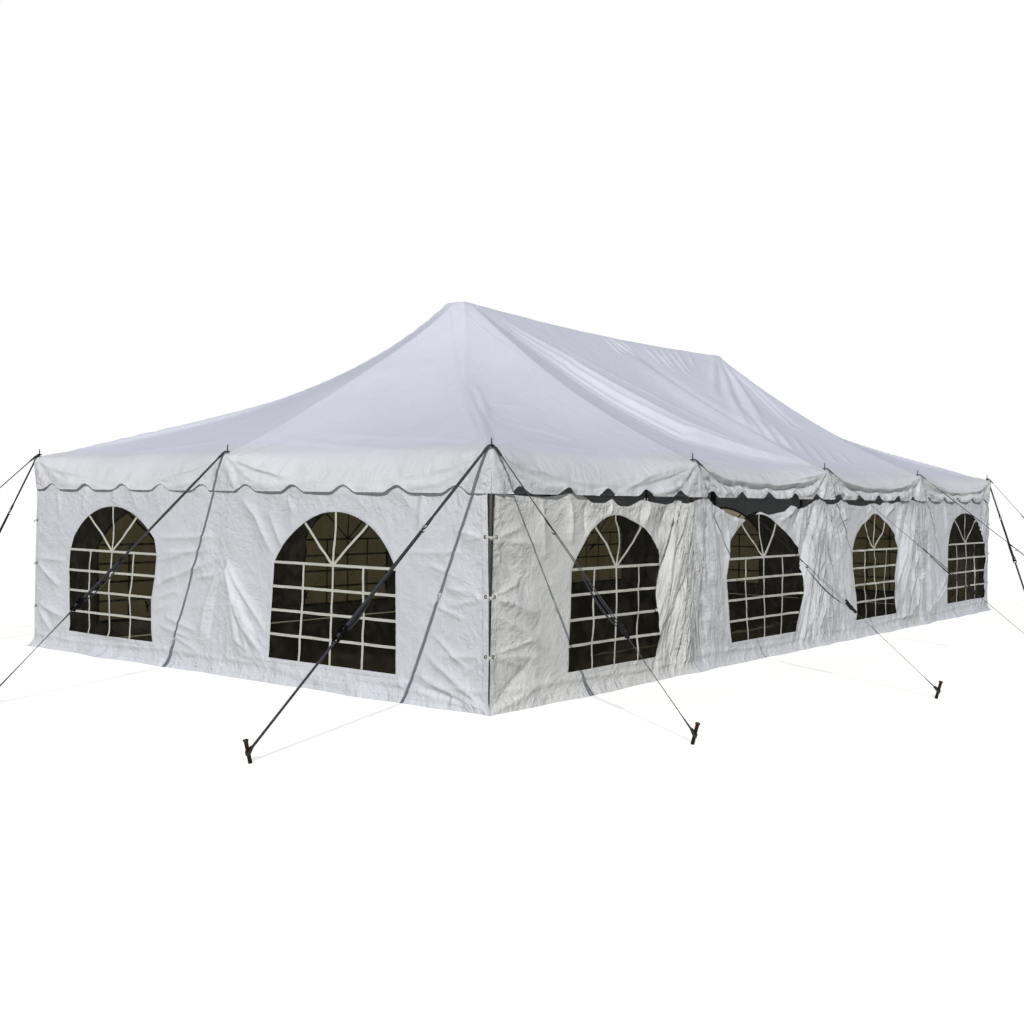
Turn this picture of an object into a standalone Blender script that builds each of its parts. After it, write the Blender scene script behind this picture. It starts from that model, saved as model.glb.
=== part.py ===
"""Marquee tent with two centre poles, 20 ft by 40 ft, standing on level ground.

Metres, Z up. The origin is the middle of the plan, on the ground. X runs along
the 40 ft side. The front long wall faces -Y and the left end wall faces -X.
The real cloth is about half a millimetre thick. Here it is a few millimetres,
so that every sheet is a closed solid.
"""

import math

import bmesh
import bpy
from mathutils import Matrix, Vector

# Plan of the tent
BAY = 3.048
END_BAYS = 2
SIDE_BAYS = 4
HALF_LENGTH = SIDE_BAYS * BAY / 2
HALF_WIDTH = END_BAYS * BAY / 2

# Heights of the roof
EAVE_Z = 1.997
PEAK_Z = 3.775
RIDGE_SAG = 0.045

# Roof sheet
ROOF_SHEET = 0.005
EDGE_OUT = 0.050
PEAK_FLAT = 0.140
RIDGE_FLAT = 0.030
STRAIGHT_SAG = 0.30
HIP_STRAIGHT_PART = 0.5
HIP_POWER = 3.7
EDGE_SAG = 0.12
EDGE_SAG_POWER = 4
SHOULDER_WIDTH = 0.18
SHOULDER_DROP = 0.12
HANG_POWER = 0.75
SEAT_HOLE_RADIUS = 0.0066
SEAT_HOLE_TURN = math.radians(7.5)

# Valance
VALANCE_SHEET = 0.004
VALANCE_BOTTOM_Z = 1.655
NOTCH_PITCH = BAY / 5
NOTCH_WIDTH = 0.27
NOTCH_RISE = 0.050

# Wall panels
WALL_SHEET = 0.004
SKIRT_HEIGHT = 0.12
SKIRT_OUT = 0.06
CORNER_INSET_FOOT = 0.012
CORNER_INSET_TOP = 0.045

# Arched windows
WINDOW_SILL_Z = 0.21
WINDOW_SPRING_Z = 1.045
WINDOW_TOP_Z = 1.49
WINDOW_WIDTH = 1.50
ARCH_STEPS = 10
FILM_SHEET = 0.002
FILM_LAP = 0.04
FILM_TOP_LAP = 0.022

# Poles
POLE_RADIUS = 0.021
POLE_SIDES = 12
SPIKE_RADIUS = 0.006
SPIKE_TOP_Z = 2.076
SPIKE_POINT = 0.012
SHOULDER_SLOPE = 0.9
CENTRE_POLE_RADIUS = 0.038
CENTRE_POLE_SIDES = 16
HEAD_RADIUS = 0.130
HEAD_THICKNESS = 0.020
HEAD_CONE = 0.045
SLEEVE_RADIUS = 0.042
SLEEVE_Z = 1.80
SLEEVE_HALF_LENGTH = 0.15

# Guys
STRAP_WIDTH = 0.025
STRAP_THICKNESS = 0.003
DOUBLED_THICKNESS = 0.008
RING_RADIUS = 0.022
RING_THICKNESS = 0.007
RING_Z = 2.012
LUG_REACH = 0.030
HOOK_SIZE = (0.090, 0.030, 0.014)
RATCHET_SIZE = (0.140, 0.046, 0.032)
DRUM_RADIUS = 0.012
DRUM_LENGTH = 0.064
STAKE_RADIUS = 0.0127
STAKE_HEIGHT = 0.15
STAKE_LEAN = 0.27
STRAP_END_Z = 0.07
CORNER_HOOK_AT = 0.31
SIDE_HOOK_AT = 0.48
RATCHET_AT = 0.67

# Pieces that touch keep this gap
GAP = 0.0003

# Offsets outwards from the line of the poles
FILM_IN = POLE_RADIUS + GAP
WALL_IN = FILM_IN + FILM_SHEET + GAP

# Each side runs anticlockwise from its own first corner: the corner, its turn
# about Z and its number of bays
SIDES = {
    "front": ((-HALF_LENGTH, -HALF_WIDTH), 0.0, SIDE_BAYS),
    "right": ((HALF_LENGTH, -HALF_WIDTH), math.pi / 2, END_BAYS),
    "back": ((HALF_LENGTH, HALF_WIDTH), math.pi, SIDE_BAYS),
    "left": ((-HALF_LENGTH, HALF_WIDTH), -math.pi / 2, END_BAYS),
}

# Windows as the walls hang: middle of each window from the side's first corner,
# and its width. Cloth that is gathered up draws a window narrower.
WINDOWS = {
    "front": ((1.70, 1.38), (4.55, 1.66), (7.60, 1.36), (11.15, 1.64)),
    "left": ((END_BAYS * BAY - 4.77, 1.42), (END_BAYS * BAY - 1.68, 1.48)),
}

# Top edge of each panel: its height at the poles, and how far it hangs between them
PANEL_TOPS = {
    "front": ((1.66, 0.07), (1.63, 0.12), (1.64, 0.05), (1.68, 0.04)),
    "left": ((1.80, 0.06), (1.80, 0.06)),
}
PLAIN_PANEL_TOP = (1.74, 0.05)

# Distance of each stake from its pole. The far side repeats the near one.
CORNER_STAKE_OUT_X = 2.29
CORNER_STAKE_OUT_Y = 1.74
SIDE_STAKE_OUTS = (2.33, 2.47, 2.56)
END_STAKE_OUTS = (2.22,)


def clear_scene():
    for old in list(bpy.data.objects):
        bpy.data.objects.remove(old, do_unlink=True)


def make_collection(name):
    collection = bpy.data.collections.new(name)
    bpy.context.scene.collection.children.link(collection)
    return collection


def make_material(name, colour, roughness, metallic=0.0, alpha=1.0):
    material = bpy.data.materials.new(name)
    material.use_nodes = True
    shader = material.node_tree.nodes["Principled BSDF"]
    shader.inputs["Base Color"].default_value = (*colour, 1.0)
    shader.inputs["Roughness"].default_value = roughness
    shader.inputs["Metallic"].default_value = metallic
    shader.inputs["Alpha"].default_value = alpha
    material.diffuse_color = (*colour, alpha)
    return material


def add_object(name, mesh, material, collection):
    piece = bpy.data.objects.new(name, mesh)
    collection.objects.link(piece)
    if material is not None:
        mesh.materials.append(material)
    return piece


def mesh_from(shape, name):
    bmesh.ops.recalc_face_normals(shape, faces=shape.faces)
    mesh = bpy.data.meshes.new(name)
    shape.to_mesh(mesh)
    shape.free()
    return mesh


def hide_cutter(cutter):
    cutter.hide_render = True
    cutter.display_type = "WIRE"


def combine(piece, cutter, operation):
    modifier = piece.modifiers.new(operation.lower(), "BOOLEAN")
    modifier.operation = operation
    modifier.solver = "EXACT"
    modifier.object = cutter
    hide_cutter(cutter)


def sheet_slab(first_lines, second_lines, thickness):
    """A flat slab whose faces are split along the given lines in X and Y."""
    columns = len(first_lines) - 1
    rows = len(second_lines) - 1
    shape = bmesh.new()
    bmesh.ops.create_grid(shape, x_segments=columns, y_segments=rows, size=1.0)
    for vertex in shape.verts:
        column = round((vertex.co.x + 1.0) / 2.0 * columns)
        row = round((vertex.co.y + 1.0) / 2.0 * rows)
        vertex.co = Vector((first_lines[column], second_lines[row], 0.0))
    split_squares(shape)
    lifted = bmesh.ops.extrude_face_region(shape, geom=list(shape.faces))
    top = [item for item in lifted["geom"] if isinstance(item, bmesh.types.BMVert)]
    bmesh.ops.translate(shape, vec=(0.0, 0.0, thickness), verts=top)
    return shape


def split_squares(shape):
    """Splits each square along the line that leads out from the middle, as the hips do."""
    for face in list(shape.faces):
        middle = face.calc_center_median()
        slope = 1.0 if middle.x * middle.y > 0.0 else -1.0
        ranked = sorted(face.verts, key=lambda vertex: vertex.co.x + slope * vertex.co.y)
        bmesh.ops.connect_verts(shape, verts=[ranked[0], ranked[-1]])


def straight_share(run):
    """Height share along a line from a peak or the ridge to a side pole."""
    return (1.0 - run) * (1.0 - STRAIGHT_SAG * run)


def hip_share(run):
    """Height share along a hip, which hangs in a deeper curve."""
    left = max(0.0, 1.0 - run)
    return HIP_STRAIGHT_PART * (1.0 - run) + (1.0 - HIP_STRAIGHT_PART) * left ** HIP_POWER


def roof_height(x, y):
    beyond_peak = abs(x) - BAY
    if beyond_peak > 0.0:
        flat = PEAK_FLAT
        reach = max(beyond_peak, abs(y))
        turn = min(beyond_peak, abs(y)) / reach
        crest = PEAK_Z
    else:
        from_peak = min(1.0, max(0.0, -beyond_peak - PEAK_FLAT) / (BAY - PEAK_FLAT))
        flat = PEAK_FLAT + (RIDGE_FLAT - PEAK_FLAT) * from_peak
        reach = abs(y)
        turn = 0.0
        crest = PEAK_Z - RIDGE_SAG * math.sin(from_peak * math.pi / 2)
    run = max(0.0, reach - flat) / (BAY - flat)
    towards_hip = 0.75 * turn + 0.25 * math.sin(turn * math.pi / 2) ** 2
    share = straight_share(run) + (hip_share(run) - straight_share(run)) * towards_hip
    bay_part = turn if beyond_peak > 0.0 else -beyond_peak / BAY
    hang = max(0.0, math.sin(math.pi * min(1.0, bay_part))) ** HANG_POWER
    drop = EDGE_SAG * hang * run ** EDGE_SAG_POWER
    width = SHOULDER_WIDTH * hang
    from_edge = BAY + EDGE_OUT - reach
    if from_edge < width:
        over = (width - from_edge) / width
        drop += SHOULDER_DROP * hang * (1.0 - math.sqrt(max(0.0, 1.0 - over * over)))
    return EAVE_Z + (crest - EAVE_Z) * share - drop


def roof_runs():
    """Distances from a peak at which the roof sheet is divided."""
    even = [NOTCH_PITCH * step for step in range(1, 5)]
    return [0.0, PEAK_FLAT] + even + [BAY - 0.25, BAY - 0.09, BAY, BAY + EDGE_OUT]


def mirrored(lines):
    positive = sorted(line for line in lines if line > 0.0)
    return [-line for line in reversed(positive)] + [0.0] + positive


def roof_lines_x():
    beyond = [BAY + run for run in roof_runs()]
    between = [NOTCH_PITCH * step for step in range(0, 5)] + [BAY - PEAK_FLAT]
    return mirrored(set(beyond + between))


def roof_lines_y():
    return mirrored(roof_runs())


def pole_places():
    """Name and place of each side pole, with the outward directions it is guyed in."""
    places = []
    for side, (corner, turn, bays) in SIDES.items():
        along = Vector((math.cos(turn), math.sin(turn), 0.0))
        outward = Vector((math.sin(turn), -math.cos(turn), 0.0))
        backward = -along
        start = Vector((corner[0], corner[1], 0.0))
        places.append((side + "_corner", start, (outward, backward)))
        for number in range(1, bays):
            places.append((side + "_" + str(number), start + along * BAY * number, (outward,)))
    return places


def add_canopy(parts, cutters, material):
    shape = sheet_slab(roof_lines_x(), roof_lines_y(), ROOF_SHEET)
    for vertex in shape.verts:
        vertex.co.z += roof_height(vertex.co.x, vertex.co.y) - ROOF_SHEET
    canopy = add_object("canopy", mesh_from(shape, "canopy"), material, parts)
    holes = bmesh.new()
    # The turn keeps the corners of each hole off the lines that divide the sheet
    turn = Matrix.Rotation(SEAT_HOLE_TURN, 4, "Z")
    for _, place, _ in pole_places():
        bmesh.ops.create_cone(
            holes,
            cap_ends=True,
            segments=POLE_SIDES,
            radius1=SEAT_HOLE_RADIUS,
            radius2=SEAT_HOLE_RADIUS,
            depth=0.1,
            matrix=Matrix.Translation(place + Vector((0.0, 0.0, EAVE_Z))) @ turn,
        )
    cutter = add_object("seat_holes", mesh_from(holes, "seat_holes"), None, cutters)
    combine(canopy, cutter, "DIFFERENCE")


def edge_top_at(distances, heights, distance):
    """Height of the roof's edge, read straight between two of its divisions."""
    for index in range(len(distances) - 1):
        if distance <= distances[index + 1]:
            part = (distance - distances[index]) / (distances[index + 1] - distances[index])
            return heights[index] + (heights[index + 1] - heights[index]) * part
    return heights[-1]


def notch_lift(distance):
    """Height of the valance's hem above its lowest line: a round notch each pitch."""
    from_middle = abs((distance % NOTCH_PITCH) - NOTCH_PITCH / 2)
    part = min(1.0, from_middle / (NOTCH_WIDTH / 2))
    return NOTCH_RISE * (1.0 - part * part)


def valance_columns(half_side, bays, roof_lines):
    """Distances from a side's middle at which the valance is divided."""
    columns = set(round(line, 5) for line in roof_lines if abs(line) <= half_side + EDGE_OUT)
    for number in range(bays * 5):
        middle = -half_side + NOTCH_PITCH * (number + 0.5)
        for part in (-1.0, -0.6, 0.0, 0.6, 1.0):
            columns.add(round(middle + part * NOTCH_WIDTH / 2, 5))
    kept = []
    for column in sorted(columns):
        if not kept or column - kept[-1] > 0.004:
            kept.append(column)
    return kept


def add_valance(parts, material):
    points = []
    for corner, turn, bays in SIDES.values():
        half_side = bays * BAY / 2
        lines = roof_lines_x() if bays == SIDE_BAYS else roof_lines_y()
        place = Matrix.Rotation(turn, 4, "Z")
        half_across = HALF_WIDTH if bays == SIDE_BAYS else HALF_LENGTH
        line_places = [place @ Vector((line, -half_across - EDGE_OUT, 0.0)) for line in lines]
        heights = [roof_height(spot.x, spot.y) for spot in line_places]
        for column in valance_columns(half_side, bays, lines)[:-1]:
            spot = place @ Vector((column, -half_across - EDGE_OUT, 0.0))
            top = edge_top_at(lines, heights, column) - ROOF_SHEET - GAP
            bottom = VALANCE_BOTTOM_Z + notch_lift(column + half_side)
            points.append((spot, top, bottom))
    count = len(points)
    shape = bmesh.new()
    bmesh.ops.create_grid(shape, x_segments=count, y_segments=1, size=1.0)
    for vertex in shape.verts:
        number = round((vertex.co.x + 1.0) / 2.0 * count) % count
        spot, top, bottom = points[number]
        vertex.co = Vector((spot.x, spot.y, top if vertex.co.y > 0.0 else bottom))
    bmesh.ops.remove_doubles(shape, verts=shape.verts, dist=0.0001)
    valance = add_object("valance", mesh_from(shape, "valance"), material, parts)
    thick = valance.modifiers.new("thickness", "SOLIDIFY")
    thick.thickness = VALANCE_SHEET
    thick.offset = -1.0
    thick.use_even_offset = True


def arch_outline(middle, width):
    """Window outline from the sill's left end round the arch, in panel X and Z."""
    half = width / 2
    rise = WINDOW_TOP_Z - WINDOW_SPRING_Z
    radius = (half * half + rise * rise) / (2.0 * rise)
    centre_z = WINDOW_TOP_Z - radius
    reach = math.asin(half / radius)
    outline = [(middle - half, WINDOW_SILL_Z), (middle + half, WINDOW_SILL_Z)]
    for step in range(ARCH_STEPS + 1):
        angle = reach - 2.0 * reach * step / ARCH_STEPS
        outline.append((middle + radius * math.sin(angle), centre_z + radius * math.cos(angle)))
    return outline


def window_cutter(name, outline, cutters):
    shape = bmesh.new()
    corners = [shape.verts.new((x, -0.1, z)) for x, z in outline]
    face = shape.faces.new(corners)
    pushed = bmesh.ops.extrude_face_region(shape, geom=[face])
    moved = [item for item in pushed["geom"] if isinstance(item, bmesh.types.BMVert)]
    bmesh.ops.translate(shape, vec=(0.0, 0.2, 0.0), verts=moved)
    return add_object(name, mesh_from(shape, name), None, cutters)


def skirt_out(z):
    """How far the foot of a wall spreads outwards on the ground."""
    low = max(0.0, 1.0 - z / SKIRT_HEIGHT)
    return SKIRT_OUT * low * low


def panel_top(along, pole_z, sag):
    """Height of a panel's top edge, which hangs between two poles."""
    return pole_z - sag * max(0.0, math.sin(math.pi * along / BAY)) ** HANG_POWER


def add_panel(side, number, window, top_line, parts, cutters, material):
    bays = SIDES[side][2]
    name = "wall_" + side + "_" + str(number + 1)
    columns = [BAY * step / 8 for step in range(9)]
    rows = [0.0, SKIRT_HEIGHT / 2, SKIRT_HEIGHT, 0.80, WINDOW_TOP_Z + 0.01, top_line[0]]
    shape = sheet_slab(columns, rows, WALL_SHEET)
    for vertex in shape.verts:
        along, z, inner = vertex.co
        if z > rows[-2]:
            z = panel_top(along, *top_line)
        start_inset = GAP / 2
        end_inset = GAP / 2
        corner_inset = CORNER_INSET_FOOT + (CORNER_INSET_TOP - CORNER_INSET_FOOT) * z / EAVE_Z
        if number == 0:
            start_inset = corner_inset
        if number == bays - 1:
            end_inset = corner_inset
        along = start_inset + along * (BAY - start_inset - end_inset) / BAY
        out = WALL_IN + WALL_SHEET - inner + skirt_out(z)
        vertex.co = Vector((along, -out, z))
    panel = add_object(name, mesh_from(shape, name), material, parts)
    cutter = window_cutter(name + "_window", arch_outline(*window), cutters)
    for item in (panel, cutter):
        item.matrix_world = side_place(side) @ Matrix.Translation((number * BAY, 0.0, 0.0))
    combine(panel, cutter, "DIFFERENCE")


def side_place(side):
    corner, turn, _ = SIDES[side]
    return Matrix.Translation((corner[0], corner[1], 0.0)) @ Matrix.Rotation(turn, 4, "Z")


def side_windows(side):
    """Middle within its own bay, and width, of each window on a side."""
    bays = SIDES[side][2]
    plain = [(BAY * (number + 0.5), WINDOW_WIDTH) for number in range(bays)]
    given = WINDOWS.get(side, plain)
    return [(middle - BAY * number, width) for number, (middle, width) in enumerate(given)]


def add_walls(parts, cutters, cloth, clear):
    for side, (_, _, bays) in SIDES.items():
        windows = side_windows(side)
        top_lines = PANEL_TOPS.get(side, (PLAIN_PANEL_TOP,) * bays)
        for number in range(bays):
            add_panel(side, number, windows[number], top_lines[number], parts, cutters, cloth)
        first_middle, first_width = windows[0]
        last_middle, last_width = windows[-1]
        start = first_middle - first_width / 2 - FILM_LAP
        end = (bays - 1) * BAY + last_middle + last_width / 2 + FILM_LAP
        bottom = WINDOW_SILL_Z - FILM_LAP
        top = WINDOW_TOP_Z + FILM_TOP_LAP
        size = Vector((end - start, FILM_SHEET, top - bottom))
        middle = Vector(((start + end) / 2, -FILM_IN - FILM_SHEET / 2, (top + bottom) / 2))
        film = box_mesh("window_film_" + side, middle, size)
        piece = add_object("window_film_" + side, film, clear, parts)
        piece.matrix_world = side_place(side)


def box_mesh(name, middle, size):
    shape = bmesh.new()
    bmesh.ops.create_cube(shape, size=1.0)
    bmesh.ops.scale(shape, vec=size, verts=shape.verts)
    bmesh.ops.translate(shape, vec=middle, verts=shape.verts)
    return mesh_from(shape, name)


def turned_piece(name, profile, sides, material, parts):
    """Turns a profile of radius and height points about the Z axis."""
    mesh = bpy.data.meshes.new(name)
    edges = [(index, index + 1) for index in range(len(profile) - 1)]
    mesh.from_pydata([(radius, 0.0, z) for radius, z in profile], edges, [])
    piece = add_object(name, mesh, material, parts)
    screw = piece.modifiers.new("turned", "SCREW")
    screw.axis = "Z"
    screw.steps = sides
    screw.render_steps = sides
    screw.use_merge_vertices = True
    screw.merge_threshold = 0.0001
    return piece


def add_side_poles(parts, material):
    cone_top = EAVE_Z - ROOF_SHEET - GAP - SHOULDER_SLOPE * SEAT_HOLE_RADIUS
    cone_foot = cone_top - SHOULDER_SLOPE * (POLE_RADIUS - SPIKE_RADIUS)
    profile = [
        (0.0, SPIKE_TOP_Z),
        (SPIKE_RADIUS, SPIKE_TOP_Z - SPIKE_POINT),
        (SPIKE_RADIUS, cone_top),
        (POLE_RADIUS, cone_foot),
        (POLE_RADIUS, 0.0),
        (0.0, 0.0),
    ]
    for name, place, _ in pole_places():
        pole = turned_piece("side_pole_" + name, profile, POLE_SIDES, material, parts)
        pole.location = place


def add_centre_poles(parts, material):
    top = PEAK_Z - ROOF_SHEET - GAP
    profile = [
        (0.0, top),
        (HEAD_RADIUS, top),
        (HEAD_RADIUS, top - HEAD_THICKNESS),
        (CENTRE_POLE_RADIUS, top - HEAD_THICKNESS - HEAD_CONE),
        (CENTRE_POLE_RADIUS, SLEEVE_Z + SLEEVE_HALF_LENGTH),
        (SLEEVE_RADIUS, SLEEVE_Z + SLEEVE_HALF_LENGTH - GAP),
        (SLEEVE_RADIUS, SLEEVE_Z - SLEEVE_HALF_LENGTH + GAP),
        (CENTRE_POLE_RADIUS, SLEEVE_Z - SLEEVE_HALF_LENGTH),
        (CENTRE_POLE_RADIUS, 0.0),
        (0.0, 0.0),
    ]
    for name, x in (("left", -BAY), ("right", BAY)):
        pole = turned_piece("centre_pole_" + name, profile, CENTRE_POLE_SIDES, material, parts)
        pole.location = (x, 0.0, 0.0)


def slanted_box(name, start, end, width, thickness, cutters):
    """A flat bar from start to end in the XZ plane, its width along Y."""
    run = end - start
    mesh = box_mesh(name, Vector((0.0, 0.0, 0.0)), Vector((run.length, width, thickness)))
    bar = add_object(name, mesh, None, cutters)
    tilt = Matrix.Rotation(math.atan2(-run.z, run.x), 4, "Y")
    bar.matrix_world = Matrix.Translation((start + end) / 2) @ tilt
    return bar


def cylinder(name, radius, depth, place, sides, cutters):
    shape = bmesh.new()
    bmesh.ops.create_cone(
        shape, cap_ends=True, segments=sides, radius1=radius, radius2=radius, depth=depth
    )
    piece = add_object(name, mesh_from(shape, name), None, cutters)
    piece.matrix_world = place
    return piece


def add_guy(name, place, outward, out, ring_z, hook_at, parts, cutters, material):
    """One guy: ring on the spike, strap, hook, doubled strap, ratchet and stake."""
    stake_shape = bmesh.new()
    bmesh.ops.create_cone(
        stake_shape,
        cap_ends=True,
        segments=8,
        radius1=STAKE_RADIUS,
        radius2=STAKE_RADIUS,
        depth=STAKE_HEIGHT,
        matrix=Matrix.Translation((0.0, 0.0, STAKE_HEIGHT / 2)),
    )
    for vertex in stake_shape.verts:
        vertex.co.x += out + vertex.co.z * STAKE_LEAN
    guy = add_object(name, mesh_from(stake_shape, name), material, parts)

    start = Vector((LUG_REACH - 0.002, 0.0, ring_z))
    end = Vector((out + STRAP_END_Z * STAKE_LEAN, 0.0, STRAP_END_Z))
    run = end - start
    unit = run.normalized()
    hook = start + run * hook_at
    ratchet = start + run * RATCHET_AT
    hook_half = unit * HOOK_SIZE[0] / 2
    ratchet_half = unit * RATCHET_SIZE[0] / 2
    across = Matrix.Rotation(math.pi / 2, 4, "X")
    pieces = [
        slanted_box(name + "_strap", start, end, STRAP_WIDTH, STRAP_THICKNESS, cutters),
        slanted_box(name + "_doubled", hook, ratchet, STRAP_WIDTH + 0.002, DOUBLED_THICKNESS, cutters),
        slanted_box(name + "_hook", hook - hook_half, hook + hook_half, *HOOK_SIZE[1:], cutters),
        slanted_box(
            name + "_ratchet", ratchet - ratchet_half, ratchet + ratchet_half, *RATCHET_SIZE[1:], cutters
        ),
        cylinder(name + "_drum", DRUM_RADIUS, DRUM_LENGTH, Matrix.Translation(ratchet) @ across, 8, cutters),
        slanted_box(
            name + "_lug",
            Vector((0.0, 0.0, ring_z)),
            Vector((LUG_REACH, 0.0, ring_z)),
            STRAP_WIDTH,
            RING_THICKNESS - 0.001,
            cutters,
        ),
        cylinder(name + "_ring", RING_RADIUS, RING_THICKNESS, Matrix.Translation((0, 0, ring_z)), 12, cutters),
    ]
    hole_place = Matrix.Translation((0.0, 0.0, ring_z))
    hole = cylinder(name + "_hole", SEAT_HOLE_RADIUS, 0.1, hole_place, POLE_SIDES, cutters)
    turn = Matrix.Rotation(math.atan2(outward.y, outward.x), 4, "Z")
    world = Matrix.Translation(place) @ turn
    guy.matrix_world = world
    for piece in pieces + [hole]:
        piece.matrix_world = world @ piece.matrix_world
    for piece in pieces:
        combine(guy, piece, "UNION")
    combine(guy, hole, "DIFFERENCE")


def stake_out(name, outward):
    if name.endswith("_corner"):
        return CORNER_STAKE_OUT_X if abs(outward.x) > 0.5 else CORNER_STAKE_OUT_Y
    side, number = name.split("_")
    if side in ("left", "right"):
        return END_STAKE_OUTS[0]
    place = int(number) if side == "front" else SIDE_BAYS - int(number)
    return SIDE_STAKE_OUTS[place - 1]


def add_guys(parts, cutters, material):
    for name, place, directions in pole_places():
        for number, outward in enumerate(directions):
            guy_name = "guy_" + name
            if len(directions) > 1:
                guy_name += "_x" if abs(outward.x) > 0.5 else "_y"
            ring_z = RING_Z + number * (RING_THICKNESS + GAP)
            hook_at = CORNER_HOOK_AT if len(directions) > 1 else SIDE_HOOK_AT
            out = stake_out(name, outward)
            add_guy(guy_name, place, outward, out, ring_z, hook_at, parts, cutters, material)


def main():
    clear_scene()
    parts = make_collection("marquee_tent")
    cutters = make_collection("cutters")
    roof_cloth = make_material("roof_cloth", (0.74, 0.76, 0.84), 0.45)
    valance_cloth = make_material("valance_cloth", (0.70, 0.71, 0.76), 0.45)
    wall_cloth = make_material("wall_cloth", (0.66, 0.67, 0.72), 0.5)
    clear_film = make_material("clear_film", (0.75, 0.76, 0.74), 0.08, alpha=0.35)
    pole_tube = make_material("pole_tube", (0.55, 0.56, 0.57), 0.35, metallic=1.0)
    webbing = make_material("webbing", (0.035, 0.036, 0.040), 0.7)
    add_canopy(parts, cutters, roof_cloth)
    add_valance(parts, valance_cloth)
    add_walls(parts, cutters, wall_cloth, clear_film)
    add_side_poles(parts, pole_tube)
    add_centre_poles(parts, pole_tube)
    add_guys(parts, cutters, webbing)
    bpy.context.view_layer.update()


main()
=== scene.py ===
# %% [markdown]
# A marquee tent, dressed over its CAD frame.
#
# The real thing is a pole tent: two centre poles push a coated cloth roof up, twelve
# side poles hold its edge, and webbing guys pull every side pole outwards to a stake.
# Arched windows of clear film are welded into cloth walls that hang from the roof's edge.
# The CAD model already has each of these at its true size. This lesson gives them
# the folds, seams, bars and finishes that a plain solid can't carry.

import math

import bmesh
import bpy
import numpy as np
from mathutils import Matrix, Vector, noise
from mathutils.geometry import delaunay_2d_cdt


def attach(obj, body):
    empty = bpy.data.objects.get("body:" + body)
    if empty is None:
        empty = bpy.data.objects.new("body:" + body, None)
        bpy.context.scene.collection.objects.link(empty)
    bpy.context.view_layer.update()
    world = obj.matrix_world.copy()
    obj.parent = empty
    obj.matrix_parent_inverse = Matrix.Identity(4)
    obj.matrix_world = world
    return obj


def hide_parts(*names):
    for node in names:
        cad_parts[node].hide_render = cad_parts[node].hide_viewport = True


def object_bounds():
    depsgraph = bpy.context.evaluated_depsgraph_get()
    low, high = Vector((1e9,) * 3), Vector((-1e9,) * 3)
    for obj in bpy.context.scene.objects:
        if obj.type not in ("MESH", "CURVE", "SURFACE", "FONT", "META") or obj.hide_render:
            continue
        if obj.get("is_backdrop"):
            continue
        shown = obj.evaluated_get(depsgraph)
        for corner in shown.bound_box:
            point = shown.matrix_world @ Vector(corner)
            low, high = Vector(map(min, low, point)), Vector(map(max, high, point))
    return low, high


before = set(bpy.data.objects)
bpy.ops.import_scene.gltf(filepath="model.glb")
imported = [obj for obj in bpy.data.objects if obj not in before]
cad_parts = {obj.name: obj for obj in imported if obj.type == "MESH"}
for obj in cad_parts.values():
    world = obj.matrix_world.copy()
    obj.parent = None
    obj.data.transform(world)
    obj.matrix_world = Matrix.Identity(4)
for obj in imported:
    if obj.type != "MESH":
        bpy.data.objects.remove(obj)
cad_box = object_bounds()
print("CAD box from", [round(v, 3) for v in cad_box[0]], "to", [round(v, 3) for v in cad_box[1]])

# %% [markdown]
# The frame's own measures come first, because every piece is hung on them. They are
# the named sizes of the CAD source, in metres: the bays between side poles, the
# heights of eave and peaks, and where each sheet stands outside the line of the poles.

# %% Sizes shared with the CAD model
BAY = 3.048
HALF_LENGTH, HALF_WIDTH = 2 * BAY, BAY
EAVE_Z, PEAK_Z, RIDGE_SAG = 1.997, 3.775, 0.045
EDGE_OUT = 0.050
PEAK_FLATS, RIDGE_FLAT = (0.115, 0.055), 0.030
STRAIGHT_SAG, HIP_STRAIGHT_PART, HIP_POWER = 0.30, 0.5, 3.7
EDGE_SAG_POWER, HANG_POWER = 4, 0.75
VALANCE_BOTTOM_Z, NOTCH_PITCH = 1.655, BAY / 5
WALL_OUT, SKIRT_HEIGHT, SKIRT_OUT = 0.0290, 0.12, 0.06
SPIKE_RADIUS, SPIKE_TOP_Z = 0.006, 2.076

SIDES = {
    "front": ((-HALF_LENGTH, -HALF_WIDTH), 0.0, 4),
    "right": ((HALF_LENGTH, -HALF_WIDTH), math.pi / 2, 2),
    "back": ((HALF_LENGTH, HALF_WIDTH), math.pi, 4),
    "left": ((-HALF_LENGTH, HALF_WIDTH), -math.pi / 2, 2),
}


def side_axes(side):
    """First corner of a side, the direction along it, and the direction out of it."""
    corner, turn, _ = SIDES[side]
    along = np.array([math.cos(turn), math.sin(turn), 0.0])
    outward = np.array([math.sin(turn), -math.cos(turn), 0.0])
    return np.array([corner[0], corner[1], 0.0]), along, outward


def pole_places():
    """Name and foot of each side pole, with the directions that it is guyed in."""
    places = []
    for side, (_, _, bays) in SIDES.items():
        start, along, outward = side_axes(side)
        places.append((side + "_corner", start, (outward, -along)))
        places += [(f"{side}_{n}", start + along * BAY * n, (outward,)) for n in range(1, bays)]
    return places


print(len(pole_places()), "side poles")

# %% [markdown]
# The camera stands where the picture was taken from: eye height, near the corner, almost
# level. The place and the focal length were fitted to the poles, peaks and feet that
# can be read in the picture, so the lens is a plain 43 mm one with no shift.

# %% Camera
EYE = Vector((-13.2786, -8.795, 1.6197))
YAW, PITCH, ROLL = 0.9133, -0.011, 0.0131

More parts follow.
